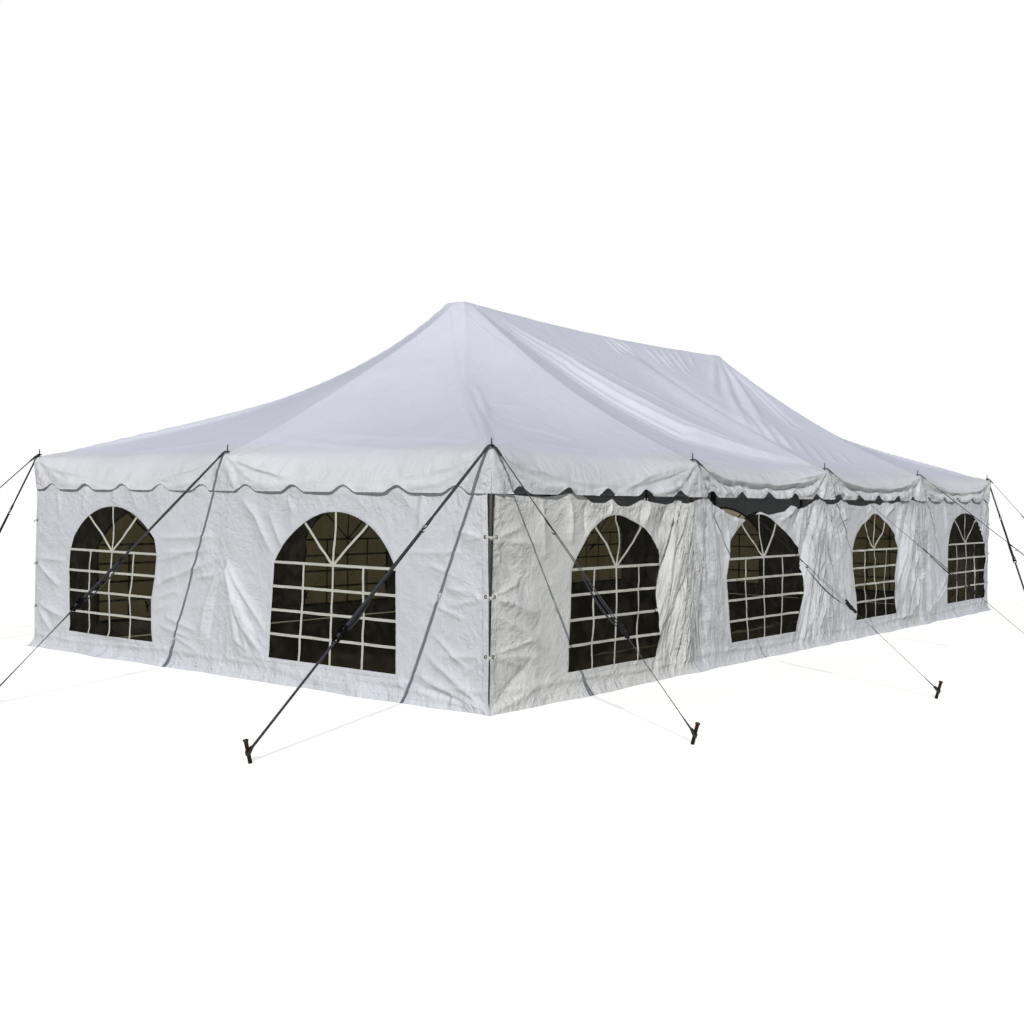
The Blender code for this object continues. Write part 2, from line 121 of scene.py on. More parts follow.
view_camera = bpy.data.cameras.new("view_camera")
view_camera.sensor_width, view_camera.lens = 36.0, 43.11
view_camera.clip_end = 500.0
camera = bpy.data.objects.new("view_camera", view_camera)
bpy.context.scene.collection.objects.link(camera)
forward = Vector((math.cos(PITCH) * math.sin(YAW), math.cos(PITCH) * math.cos(YAW), math.sin(PITCH)))
right = Vector((math.cos(YAW), -math.sin(YAW), 0.0))
upward = right.cross(forward)
right, upward = (
    math.cos(ROLL) * right + math.sin(ROLL) * upward,
    -math.sin(ROLL) * right + math.cos(ROLL) * upward,
)
turned = Matrix((right, upward, -forward)).transposed().to_4x4()
camera.matrix_world = Matrix.Translation(EYE) @ turned
bpy.context.scene.camera = camera
print("camera at", [round(v, 2) for v in EYE], "with a", view_camera.lens, "mm lens")

# %% [markdown]
# A colour that is read off a screen is sRGB, and the renderer works with linear light,
# so one function turns hex values into linear ones. A second adds a node with its
# settings and links. Every material below is made with these two.

# %% Colour and node helpers
def linear(hex_colour):
    """An sRGB hex colour as linear RGBA."""
    parts = [int(hex_colour[i:i + 2], 16) / 255 for i in (1, 3, 5)]
    curve = [p / 12.92 if p <= 0.04045 else ((p + 0.055) / 1.055) ** 2.4 for p in parts]
    return (*curve, 1.0)


# The kinds of node that the materials use most
MATH, MIX, RANGE = "ShaderNodeMath", "ShaderNodeMix", "ShaderNodeMapRange"
NOISE, BUMP, PLACES = "ShaderNodeTexNoise", "ShaderNodeBump", "ShaderNodeTexCoord"


def node(tree, kind, inputs=None, **settings):
    """Adds a node: settings are its properties, inputs are values, or sockets or nodes to link."""
    made = tree.nodes.new(kind)
    for name, value in settings.items():
        setattr(made, name, value)
    for name, value in (inputs or {}).items():
        if isinstance(value, bpy.types.Node):
            value = value.outputs[0]
        if isinstance(value, bpy.types.NodeSocket):
            tree.links.new(value, made.inputs[name])
        else:
            made.inputs[name].default_value = value
    return made


def start_material(name, **values):
    """A new material with its Principled shader set; returns the material, tree and shader."""
    material = bpy.data.materials.new(name)
    material.use_nodes = True
    shader = material.node_tree.nodes["Principled BSDF"]
    for socket, value in values.items():
        shader.inputs[socket.replace("_", " ")].default_value = value
    return material, material.node_tree, shader


print("white cloth in linear light:", [round(v, 3) for v in linear("#D9DBE1")])

# %% [markdown]
# Light: one small hard key from high on the left, which rakes the folds and lays each
# guy's thin shadow on the walls as in the picture. A pale surround, a little warmer near
# the ground than overhead, fills the rest. The floor is pale. It is shown brighter to
# the eye than it is to the cloth, because a really white ground would throw light up
# under every fold and flatten it. Under the tent it stays as dark as it is.

# %% Light and surround
key = bpy.data.lights.new("key", "SUN")
key.energy, key.angle = 3.08, math.radians(0.12)
key.color = linear("#FFFBF4")[:3]
key_lamp = bpy.data.objects.new("key", key)
key_lamp.rotation_euler = Vector((0.697, 0.467, -0.544)).to_track_quat("-Z", "Y").to_euler()
bpy.context.scene.collection.objects.link(key_lamp)

surround = bpy.data.worlds.new("surround")
surround.use_nodes = True
bpy.context.scene.world = surround
sky = surround.node_tree
seen = node(sky, "ShaderNodeLightPath")
looking = node(sky, PLACES)
heading = node(sky, "ShaderNodeSeparateXYZ", {0: looking.outputs["Generated"]})
height = node(sky, RANGE, {"Value": heading.outputs["Z"], "From Min": -0.1, "From Max": 0.35})
tinted = node(sky, MIX, {0: height, 6: linear("#CFD0C8"), 7: linear("#C6CEE9")}, data_type="RGBA")
fill = node(sky, "ShaderNodeBackground", {"Color": tinted.outputs[2], "Strength": 0.39})
backdrop = node(sky, "ShaderNodeBackground", {"Color": linear("#FFFFFF"), "Strength": 1.0})
chosen = node(sky, "ShaderNodeMixShader", {0: seen.outputs["Is Camera Ray"], 1: fill, 2: backdrop})
sky.links.new(chosen.outputs[0], sky.nodes["World Output"].inputs["Surface"])
print("key light", key.energy, "surround", fill.inputs["Strength"].default_value)

# %% Pale floor
pale_floor, tree, shader = start_material("pale_studio_floor", Base_Color=linear("#A7A99D"), Roughness=0.95)
place = node(tree, PLACES)
split = node(tree, "ShaderNodeSeparateXYZ", {0: place.outputs["Object"]})
past = []
for axis, half in (("X", HALF_LENGTH), ("Y", HALF_WIDTH)):
    far = node(tree, MATH, {0: split.outputs[axis]}, operation="ABSOLUTE")
    past.append(node(tree, MATH, {0: far, 1: half}, operation="GREATER_THAN"))
outside = node(tree, MATH, {0: past[0], 1: past[1]}, operation="MAXIMUM")
looked_at = node(tree, "ShaderNodeLightPath")
lifted = node(tree, MATH, {0: outside, 1: looked_at.outputs["Is Camera Ray"]}, operation="MULTIPLY")
glow = node(tree, "ShaderNodeEmission", {"Color": linear("#FFFFFF"), "Strength": 0.72})
both = node(tree, "ShaderNodeAddShader", {0: shader, 1: glow})
shown = node(tree, "ShaderNodeMixShader", {0: lifted, 1: shader, 2: both})
tree.links.new(shown.outputs[0], tree.nodes["Material Output"].inputs["Surface"])

bpy.ops.mesh.primitive_grid_add(x_subdivisions=8, y_subdivisions=8, size=600.0, location=(0.0, 0.0, -0.001))
floor = bpy.context.object
floor.name = "floor"
floor.data.materials.append(pale_floor)
floor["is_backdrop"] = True
bpy.context.scene.view_settings.view_transform = "Standard"
print("floor", [round(v) for v in floor.dimensions], "metres")

# %% [markdown]
# Roof and walls are woven polyester with a vinyl coating. Up close that is a fine grid
# of threads under a soft satin skin. Further off the eye sees three things: small
# crinkles from handling, the straight creases of the folded pack, and seams with a
# line of stitches. The threads are 0.5 mm apart, too fine to show here, so the weave
# is drawn as a 12 mm grid. Crinkles are ridges of a noise about 80 mm across. Pack
# creases cross the cloth every 420 mm, and the upright ones are the sharper. Beside the
# poles the front wall is gathered in fine pleats, and their valleys are painted grey:
# painted shade in the folds. The white is also painted bluish high on the roof and
# neutral low on it, at the eave and on the nearest walls: painted sky light above and
# ground light below. All of it is colour and bump in the shader, because the large
# folds are real geometry. The pattern's coordinates are the UV map, which holds metres
# of flat cloth, so no pattern stretches where the cloth folds.

# %% Coated cloth material
SEAM_WIDTH, STITCH_WIDTH, PACK_FOLD = 0.030, 0.0025, 0.21
# Wave bands of this scale are 12 mm apart
WEAVE_SCALE = 26.5


def coated_polyester(name, colours, painted_ground_lit_colours, crinkle, creases):
    """Vinyl-coated woven polyester: satin, crinkled, with pack creases and stitched seams."""
    material, tree, shader = start_material(
        name, Roughness=0.5, IOR=1.5, Sheen_Weight=0.12, Sheen_Roughness=0.4, Specular_IOR_Level=0.35
    )
    flat = node(tree, "ShaderNodeUVMap", uv_map="flat_cloth")
    cloth = node(tree, "ShaderNodeSeparateXYZ", {0: flat})

    large = node(tree, NOISE, {"Vector": flat, "Scale": 0.9, "Detail": 3.0, "Roughness": 0.6})
    soil = node(tree, NOISE, {"Vector": flat, "Scale": 7.0, "Detail": 5.0, "Roughness": 0.65})
    tone = node(tree, MIX, {0: 0.35, 2: large, 3: soil})
    spread = node(tree, RANGE, {"Value": tone, "From Min": 0.35, "From Max": 0.65})
    tones = []
    for clean, dull in (colours, painted_ground_lit_colours):
        values = {0: spread, 6: linear(clean), 7: linear(dull)}
        tones.append(node(tree, MIX, values, data_type="RGBA"))
    # The eave mark mixes in the second pair of colours: painted light, neutral where ground light stands in
    # for the sky's blue
    eave = node(tree, "ShaderNodeAttribute", attribute_name="eave")
    values = {0: eave.outputs["Fac"], 6: tones[0].outputs[2], 7: tones[1].outputs[2]}
    colour = node(tree, MIX, values, data_type="RGBA")

    bands = []
    for way in "XY":
        values = {"Vector": flat, "Scale": WEAVE_SCALE}
        bands.append(node(tree, "ShaderNodeTexWave", values, bands_direction=way).outputs[1])
    weave = node(tree, MATH, {0: bands[0], 1: bands[1]}, operation="MULTIPLY")

    warp = node(tree, NOISE, {"Vector": flat, "Scale": 2.3, "Detail": 2.0})
    gentle = node(
        tree, "ShaderNodeVectorMath", {0: warp.outputs["Color"], "Scale": 0.30}, operation="SCALE",
    )
    bent = node(tree, "ShaderNodeVectorMath", {0: flat, 1: gentle}, operation="ADD")
    small = node(
        tree, NOISE,
        {"Vector": bent, "Scale": 13.0, "Detail": 4.0, "Roughness": 0.6, "Distortion": 0.15},
    )
    centred = node(tree, MATH, {0: small, 1: 0.5}, operation="SUBTRACT")
    folded = node(tree, MATH, {0: centred}, operation="ABSOLUTE")
    ridges = node(tree, RANGE, {"Value": folded, "From Max": 0.22, "To Min": 1.0, "To Max": 0.0})
    facets = node(tree, "ShaderNodeTexVoronoi", {"Vector": bent, "Scale": 4.5, "Detail": 2.0}, feature="F1")

    pulses = []
    for axis, wobble in (("X", 0.0), ("Y", 0.13)):
        shifted = node(tree, MATH, {0: cloth.outputs[axis], 1: wobble}, operation="ADD")
        swing = node(tree, MATH, {0: shifted, 1: PACK_FOLD}, operation="PINGPONG")
        pulse = node(
            tree, RANGE,
            {"Value": swing, "From Max": 0.008, "To Min": 1.0, "To Max": 0.0},
            interpolation_type="SMOOTHSTEP",
        )
        pulses.append(pulse)
    level = node(tree, MATH, {0: pulses[1], 1: 0.3}, operation="MULTIPLY")
    crease = node(tree, MATH, {0: pulses[0], 1: level}, operation="MAXIMUM")
    patchy = node(tree, MATH, {0: crease, 1: large}, operation="MULTIPLY")

    flow = node(tree, "ShaderNodeAttribute", attribute_name="flow")
    pleated = node(tree, "ShaderNodeAttribute", attribute_name="pleated")
    slow = node(tree, MATH, {0: cloth.outputs["Y"], 1: 0.09}, operation="MULTIPLY")
    lined = node(tree, "ShaderNodeCombineXYZ", {"X": flow.outputs["Fac"], "Y": slow})
    lines = node(tree, NOISE, {"Vector": lined, "Scale": 17.0, "Detail": 3.0, "Roughness": 0.55})
    middled = node(tree, MATH, {0: lines, 1: 0.5}, operation="SUBTRACT")
    pleat = node(tree, MATH, {0: middled}, operation="ABSOLUTE")

    # Painted shade: the valleys between the pleats are greyed where the folds would shade them
    valley = node(tree, RANGE, {"Value": pleat, "From Min": -0.05, "From Max": 0.17, "To Max": 0.64})
    painted_pleat_shade = node(tree, MATH, {0: valley, 1: pleated.outputs["Fac"]}, operation="MULTIPLY")
    colour = node(tree, MIX, {0: painted_pleat_shade, 6: colour.outputs[2], 7: linear("#97999D")}, data_type="RGBA")

    crushed = node(tree, "ShaderNodeAttribute", attribute_name="crush")
    crinkled = node(tree, RANGE, {"Value": crushed.outputs["Fac"], "To Min": crinkle, "To Max": 1.0})
    gap = node(tree, "ShaderNodeAttribute", attribute_name="seam_gap")
    welt = node(
        tree, RANGE,
        {
            "Value": gap.outputs["Fac"], "From Min": SEAM_WIDTH * 0.45, "From Max": SEAM_WIDTH * 0.55,
            "To Min": 1.0, "To Max": 0.0,
        },
        interpolation_type="SMOOTHSTEP",
    )
    off_line = node(tree, MATH, {0: gap.outputs["Fac"], 1: SEAM_WIDTH * 0.38}, operation="SUBTRACT")
    near_line = node(tree, MATH, {0: off_line}, operation="ABSOLUTE")
    thread = node(
        tree, RANGE,
        {"Value": near_line, "From Max": STITCH_WIDTH, "To Min": 0.35, "To Max": 0.0},
        interpolation_type="SMOOTHSTEP",
    )
    stitched = node(
        tree, MIX, {0: thread, 6: colour.outputs[2], 7: linear("#CDCFD6")},
        data_type="RGBA", clamp_factor=True,
    )
    tree.links.new(stitched.outputs[2], shader.inputs["Base Color"])

    rough = node(
        tree, RANGE,
        {"Value": soil, "From Min": 0.3, "From Max": 0.7, "To Min": 0.42, "To Max": 0.58},
    )
    tree.links.new(rough.outputs[0], shader.inputs["Roughness"])

    # Every relief is a bump laid over the one before it: height, strength, distance
    reliefs = [
        (weave, 0.25, 0.0004), (ridges, crinkled, 0.012), (facets, crinkled, 0.034),
        (pleat, pleated.outputs["Fac"], -0.07), (patchy, creases, 0.006), (welt, 0.8, 0.0025),
        (thread, 0.6, -0.002),
    ]
    below = {}
    for relief, strength, distance in reliefs:
        values = {"Height": relief, "Strength": strength, "Distance": distance}
        bump = node(tree, BUMP, {**values, **below})
        below = {"Normal": bump}
    tree.links.new(bump.outputs[0], shader.inputs["Normal"])
    glow = node(tree, "ShaderNodeBsdfTranslucent", {"Color": linear("#D9D8CF"), **below})
    lit = node(tree, "ShaderNodeMixShader", {0: 0.08, 1: shader, 2: glow})
    tree.links.new(lit.outputs[0], tree.nodes["Material Output"].inputs["Surface"])
    return material


# The first pair of colours is painted bluish as if lit by the sky, the second neutral as if lit from the
# ground
roof_cloth = coated_polyester(
    "coated_polyester_roof", ("#DDE0EB", "#D4D7E4"), ("#DFE1E7", "#D3D5DA"), crinkle=0.10, creases=0.15,
)
wall_cloth = coated_polyester(
    "coated_polyester_wall", ("#DADDE6", "#D1D4DD"), ("#E0E2E1", "#D5D7D6"), crinkle=0.20, creases=0.50,
)
print("cloth materials:", [m.name for m in (roof_cloth, wall_cloth)])

# %% [markdown]
# The windows are calendered clear vinyl, half a millimetre thick. Film like this is
# glossy and never flat, so it mirrors the sky in streaks. It could be a refracting
# glass, but a sheet this thin doesn't bend what is behind it, and a tinted transparent
# layer under a gloss coat is cleaner and cheaper to render. The tint and the gloss
# coat's base are a dark brownish grey: painted shade that darkens the inside of the
# tent seen through the film.
# The bars on it are strips of white vinyl tape welded to the film.

# %% Clear film and its bars
clear_film, tree, shader = start_material(
    "clear_vinyl_film", Base_Color=linear("#4A483F"), Roughness=0.12, IOR=1.53, Specular_IOR_Level=0.4
)
flat = node(tree, "ShaderNodeUVMap", uv_map="flat_cloth")
streaks = node(tree, NOISE, {"Vector": flat, "Scale": 5.0, "Detail": 4.0, "Distortion": 1.4})
haze = node(
    tree, RANGE,
    {"Value": streaks, "From Min": 0.45, "From Max": 0.8, "To Min": 0.05, "To Max": 0.26},
)
rough = node(
    tree, RANGE,
    {"Value": streaks, "From Min": 0.3, "From Max": 0.7, "To Min": 0.06, "To Max": 0.22},
)
tree.links.new(rough.outputs[0], shader.inputs["Roughness"])
rippled = node(tree, BUMP, {"Height": streaks, "Strength": 0.9, "Distance": 0.03})
tree.links.new(rippled.outputs[0], shader.inputs["Normal"])
# Painted shade: this tint and the dark base above darken the inside of the tent seen through the film
through = node(tree, "ShaderNodeBsdfTransparent", {"Color": linear("#7B7563")})
glazed = node(tree, "ShaderNodeMixShader", {0: haze, 1: through, 2: shader})
tree.links.new(glazed.outputs[0], tree.nodes["Material Output"].inputs["Surface"])

bar_tape, tree, shader = start_material(
    "white_vinyl_tape", Base_Color=linear("#D9D9D2"), Roughness=0.4, IOR=1.5,
)
flat = node(tree, PLACES)
grain = node(tree, NOISE, {"Vector": flat.outputs["Object"], "Scale": 40.0, "Detail": 4.0})
tint = node(tree, MIX, {0: grain, 6: linear("#CBCBC4"), 7: linear("#B6B6AC")}, data_type="RGBA")
tree.links.new(tint.outputs[2], shader.inputs["Base Color"])
pressed = node(tree, BUMP, {"Height": grain, "Strength": 0.3, "Distance": 0.001})
tree.links.new(pressed.outputs[0], shader.inputs["Normal"])
print("film and tape ready")

# %% [markdown]
# The hardware has seven finishes. Side and centre poles are hot-dip galvanised steel
# tube: matt grey zinc with large faint spangles, darker than bare zinc and patched with
# dark olive, partly weathering and partly painted shade, since the poles stand behind
# the walls. Ratchets and hooks are steel with a black oxide finish worn to bare metal on
# edges. Stakes are forged steel bar with mill scale and rust. Guys are black polyester
# webbing with ribs across it. The real ribs are a millimetre apart, too fine to show, so
# they are drawn every 10 mm. The corner lacing is white braided cord, and its eyelets
# are brass under black enamel, rubbed through in places. The eyelets in the roof are
# rolled brass, gone dull. Five of the seven are one colour with patches of another, so
# a table and a loop make them.

# %% Hardware materials
galvanised, tree, shader = start_material("galvanised_steel_tube", Metallic=1.0, Roughness=0.42)
spot = node(tree, PLACES)
spangle = node(tree, "ShaderNodeTexVoronoi", {"Vector": spot.outputs["Object"], "Scale": 90.0})
dull = node(tree, NOISE, {"Vector": spot.outputs["Object"], "Scale": 9.0, "Detail": 5.0})
zinc = node(
    tree, MIX, {0: spangle.outputs["Color"], 6: linear("#6E6F69"), 7: linear("#8D8E86")},
    data_type="RGBA",
)
# Weathering and painted shade: the zinc is darkened towards olive in patches
weathered_and_shaded = node(tree, MIX, {0: dull, 6: zinc.outputs[2], 7: linear("#5B5C53")}, data_type="RGBA")
tree.links.new(weathered_and_shaded.outputs[2], shader.inputs["Base Color"])
satin = node(tree, RANGE, {"Value": dull, "To Min": 0.32, "To Max": 0.6})
tree.links.new(satin.outputs[0], shader.inputs["Roughness"])

webbing, tree, shader = start_material(
    "black_polyester_webbing", Roughness=0.72, Sheen_Weight=0.10, IOR=1.5,
)
lie = node(tree, "ShaderNodeUVMap", uv_map="flat_cloth")
ribs = node(
    tree, "ShaderNodeTexWave", {"Vector": lie, "Scale": 32.0, "Distortion": 0.3}, bands_direction="Y",
)
fibre = node(tree, NOISE, {"Vector": lie, "Scale": 60.0, "Detail": 5.0})
faded = node(tree, MIX, {0: fibre, 6: linear("#212327"), 7: linear("#33363B")}, data_type="RGBA")
tree.links.new(faded.outputs[2], shader.inputs["Base Color"])
ribbed = node(tree, BUMP, {"Height": ribs.outputs[1], "Strength": 0.5, "Distance": 0.0012})
tree.links.new(ribbed.outputs[0], shader.inputs["Normal"])

# Finishes of one colour with patches of another: shader values; scale, detail and roughness
# of the noise; where its patches begin and are full; the two colours; strength and
# distance of the relief, if it has one
PATCHED = {
    "black_oxide_steel": (
        {"Metallic": 1.0, "Roughness": 0.58}, (60.0, 6.0, 0.5), (0.58, 0.70), ("#232426", "#4A4A48"),
        (0.3, 0.0008),
    ),
    "forged_steel_stake": (
        {"Metallic": 1.0, "Roughness": 0.6}, (45.0, 8.0, 0.65), (0.42, 0.60), ("#4B4A49", "#6E4229"),
        (0.5, 0.001),
    ),
    "white_braided_cord": (
        {"Roughness": 0.8, "Sheen_Weight": 0.2}, (300.0, 2.0, 0.5), (0.0, 1.0), ("#E2E2DC", "#BDBDB4"),
        None,
    ),
    "black_enamelled_brass": (
        {"Roughness": 0.5}, (90.0, 4.0, 0.5), (0.62, 0.72), ("#17181A", "#4A4740"), None,
    ),
    "rolled_brass_eyelet": (
        {"Metallic": 1.0, "Roughness": 0.38}, (80.0, 4.0, 0.5), (0.0, 1.0), ("#8C8676", "#5F5A4C"), None,
    ),
}
finishes = []
for name, (surface, (scale, detail, rough), (begin, full), (base, patch), relief) in PATCHED.items():
    material, tree, shader = start_material(name, **surface)
    spot = node(tree, PLACES)
    values = {"Vector": spot.outputs["Object"], "Scale": scale, "Detail": detail, "Roughness": rough}
    patches = node(tree, NOISE, values)
    bare = node(tree, RANGE, {"Value": patches, "From Min": begin, "From Max": full})
    mixed = node(tree, MIX, {0: bare, 6: linear(base), 7: linear(patch)}, data_type="RGBA")
    tree.links.new(mixed.outputs[2], shader.inputs["Base Color"])
    if relief:
        values = {"Height": patches, "Strength": relief[0], "Distance": relief[1]}
        tree.links.new(node(tree, BUMP, values).outputs[0], shader.inputs["Normal"])
    finishes.append(material)
black_steel, stake_steel, white_cord, black_enamel, eyelet_brass = finishes
print("hardware materials:", [m.name for m in [galvanised, webbing] + finishes])

# %% [markdown]
# Meshes are made two ways here. Sheets come from arrays of points, because a fold is
# easiest to write as a height added to thousands of points at once. Hardware is
# built up in one bmesh from tubes, ribbons, turned profiles and rounded blocks, so
# that one fitting stays one piece with several finishes.

# %% Mesh helpers
def add_sheet(name, points, faces, flat, marks, materials, second_from=None):
    """A smooth sheet from arrays: points, faces, flat coordinates, and marks such as seam_gap."""
    mesh = bpy.data.meshes.new(name)
    mesh.from_pydata([tuple(p) for p in points], [], faces)
    for material in materials:
        mesh.materials.append(material)
    mesh.polygons.foreach_set("use_smooth", [True] * len(mesh.polygons))
    if second_from is not None:
        finishes = [0 if number < second_from else 1 for number in range(len(mesh.polygons))]
        mesh.polygons.foreach_set("material_index", finishes)
    corners = np.zeros(len(mesh.loops), int)
    mesh.loops.foreach_get("vertex_index", corners)
    layer = mesh.uv_layers.new(name="flat_cloth")
    layer.data.foreach_set("uv", np.asarray(flat, np.float32)[corners].ravel())
    for label, values in marks.items():
        attribute = mesh.attributes.new(label, "FLOAT", "POINT")
        attribute.data.foreach_set("value", np.asarray(values, np.float32))
    piece = bpy.data.objects.new(name, mesh)
    bpy.context.scene.collection.objects.link(piece)
    return piece


def ripple(points, scale, seed):
    """Smooth noise from -1 to 1 at each point; scale is ripples per metre."""
    place = [Vector((p[0] * scale + seed, p[1] * scale, p[2] * scale)) for p in points]
    return np.array([noise.noise(p) for p in place])


def fold(x, y, path, width, height, end_width, sharp=False):
    """Height that one fold adds: it follows path, fades out at both ends and may widen."""
    path = np.array(path, float)
    steps = np.diff(path, axis=0)
    lengths = np.hypot(steps[:, 0], steps[:, 1])
    nearest, place, walked = np.full(x.shape, 1e9), np.zeros(x.shape), 0.0
    for start, step, length in zip(path[:-1], steps, lengths):
        part = np.clip(((x - start[0]) * step[0] + (y - start[1]) * step[1]) / length**2, 0.0, 1.0)
        gap = np.hypot(x - start[0] - part * step[0], y - start[1] - part * step[1])
        closer = gap < nearest
        place = np.where(closer, (walked + part * length) / lengths.sum(), place)
        nearest = np.where(closer, gap, nearest)
        walked += length
    wide = width + (end_width - width) * place
    fade = np.sin(np.pi * np.clip(place, 0.0, 1.0)) ** 0.6
    shape = np.exp(-nearest / wide) if sharp else np.exp(-((nearest / wide) ** 2))
    return height * fade * shape


def smooth_step(value, low, high):
    """0 below low, 1 above high, and a soft ramp between them."""
    part = np.clip((value - low) / (high - low), 0.0, 1.0)
    return part * part * (3.0 - 2.0 * part)


def in_metres(rows):
    """Rows of millimetres as (width, end width, height, path) in metres."""
    for row in rows:
        width, end_width, height, *places = [value / 1000 for value in row]
        yield width, end_width, height, list(zip(places[::2], places[1::2]))


print("mesh helpers ready")

# %% [markdown]
# The roof is one sheet, cut from panels and sewn along the lines that carry the load:
# the ridge, the four hips, and a line from ridge to eave at each side pole. Those seams are
# pulled straight while the cloth between them bellies down a little, so each seam
# shows as a soft crease. First comes the height of the plain sheet. It is the function
# of the CAD source, but its shoulders at the eave are softer, as hanging cloth is, and
# its two peaks are shifted along the ridge with the leaning centre poles.

# %% Height of the roof
LEANS, LEAN_REACH = (0.20, -0.05), 1.2
SOFT_TURN = 1.7
# Between poles the edge drops, and the sheet turns over it within a width. Where the
# valance is drawn in, it drops a little more and turns more sharply.
EDGE_DROP, TUCKED_DROP = 0.070, 0.010
TURN_WIDTH, TUCKED_NARROWER = 0.27, 0.06
SOFT_SHOULDER, ROUND_SHOULDER = 0.165, 0.085
# How far each bay's valance is drawn in under the shoulder, and how crinkled it is
TUCKED = {
    "front": (0.1, 1.0, 1.0, 0.7), "right": (0.5, 0.5), "back": (0.5, 0.5, 0.5, 0.5), "left": (0.0, 0.0),
}
CRINKLED = {
    "front": (0.3, 0.8, 0.9, 0.8), "right": (0.4, 0.4), "back": (0.4, 0.4, 0.4, 0.4), "left": (0.15, 0.15),
}


def side_hang(distance):
    """0 at a side pole and 1 halfway to the next: how freely the edge of the roof hangs."""
    return np.abs(np.sin(np.pi * distance / BAY)) ** HANG_POWER


def by_bay(values, distance):
    """One value for each bay of a side, blended across the poles."""
    middles = (np.arange(len(values)) + 0.5) * BAY
    edges = np.concatenate([middles - 0.45 * BAY, middles + 0.45 * BAY])
    order = np.argsort(edges)
    return np.interp(distance, edges[order], np.concatenate([values, values])[order])


def leaned(x, y):
    """Where a point of the leaning roof would be if its centre poles stood upright."""
    for place, shift in zip((-BAY, BAY), LEANS):
        x = x - shift * np.exp(-(((x - place) / LEAN_REACH) ** 2) - (y / LEAN_REACH) ** 2)
    return x


def roof_height(x, y):
    """Height of the plain roof over a place in the plan."""
    x = leaned(x, y)
    beyond = np.abs(x) - BAY
    outer = beyond > 0.0
    reach = np.where(outer, np.maximum(beyond, np.abs(y)), np.abs(y))
    turn = np.where(outer, np.minimum(np.maximum(beyond, 0.0), np.abs(y)) / np.maximum(reach, 1e-9), 0.0)
    peak_flat = np.where(x < 0.0, PEAK_FLATS[0], PEAK_FLATS[1])
    from_peak = np.clip((-beyond - peak_flat) / (BAY - peak_flat), 0.0, 1.0)
    level = np.where(outer, peak_flat, peak_flat + (RIDGE_FLAT - peak_flat) * from_peak)
    crest = np.where(outer, PEAK_Z, PEAK_Z - RIDGE_SAG * np.sin(from_peak * np.pi / 2))
    run = np.maximum(0.0, reach - level) / (BAY - level)
    straight = (1.0 - run) * (1.0 - STRAIGHT_SAG * run)
    hip = HIP_STRAIGHT_PART * (1.0 - run)
    hip = hip + (1.0 - HIP_STRAIGHT_PART) * np.maximum(0.0, 1.0 - run) ** HIP_POWER
    towards_hip = 0.75 * turn + 0.25 * np.sin(turn * np.pi / 2) ** 2
    share = straight + (hip - straight) * towards_hip
    hang = side_hang(np.clip(np.where(outer, turn, -beyond / BAY), 0.0, 1.0) * BAY)
    at_end = outer & (beyond > np.abs(y))
    tucked = np.where(y < 0.0, by_bay(TUCKED["front"], x + HALF_LENGTH), 0.5)
    tucked = np.where(at_end, np.where(x < 0.0, 0.0, 0.5), tucked)
    drop = (EDGE_DROP + TUCKED_DROP * tucked) * hang * run**EDGE_SAG_POWER
    width = (TURN_WIDTH - TUCKED_NARROWER * tucked) * hang
    over = np.clip((width - (BAY + EDGE_OUT - reach)) / np.maximum(width, 1e-9), 0.0, 1.0)
    rolled = 1.0 - np.maximum(0.0, 1.0 - over**SOFT_TURN) ** (1.0 / SOFT_TURN)
    drop = drop + hang * (SOFT_SHOULDER * (1.0 - tucked) * over**2 + ROUND_SHOULDER * tucked * rolled)
    return EAVE_Z + (crest - EAVE_Z) * share - drop


for label, x, y in (("near the right peak", BAY, 0.0), ("at a side pole", 0.0, BAY)):
    print("roof", label, round(float(roof_height(np.array(x), np.array(y))), 3))
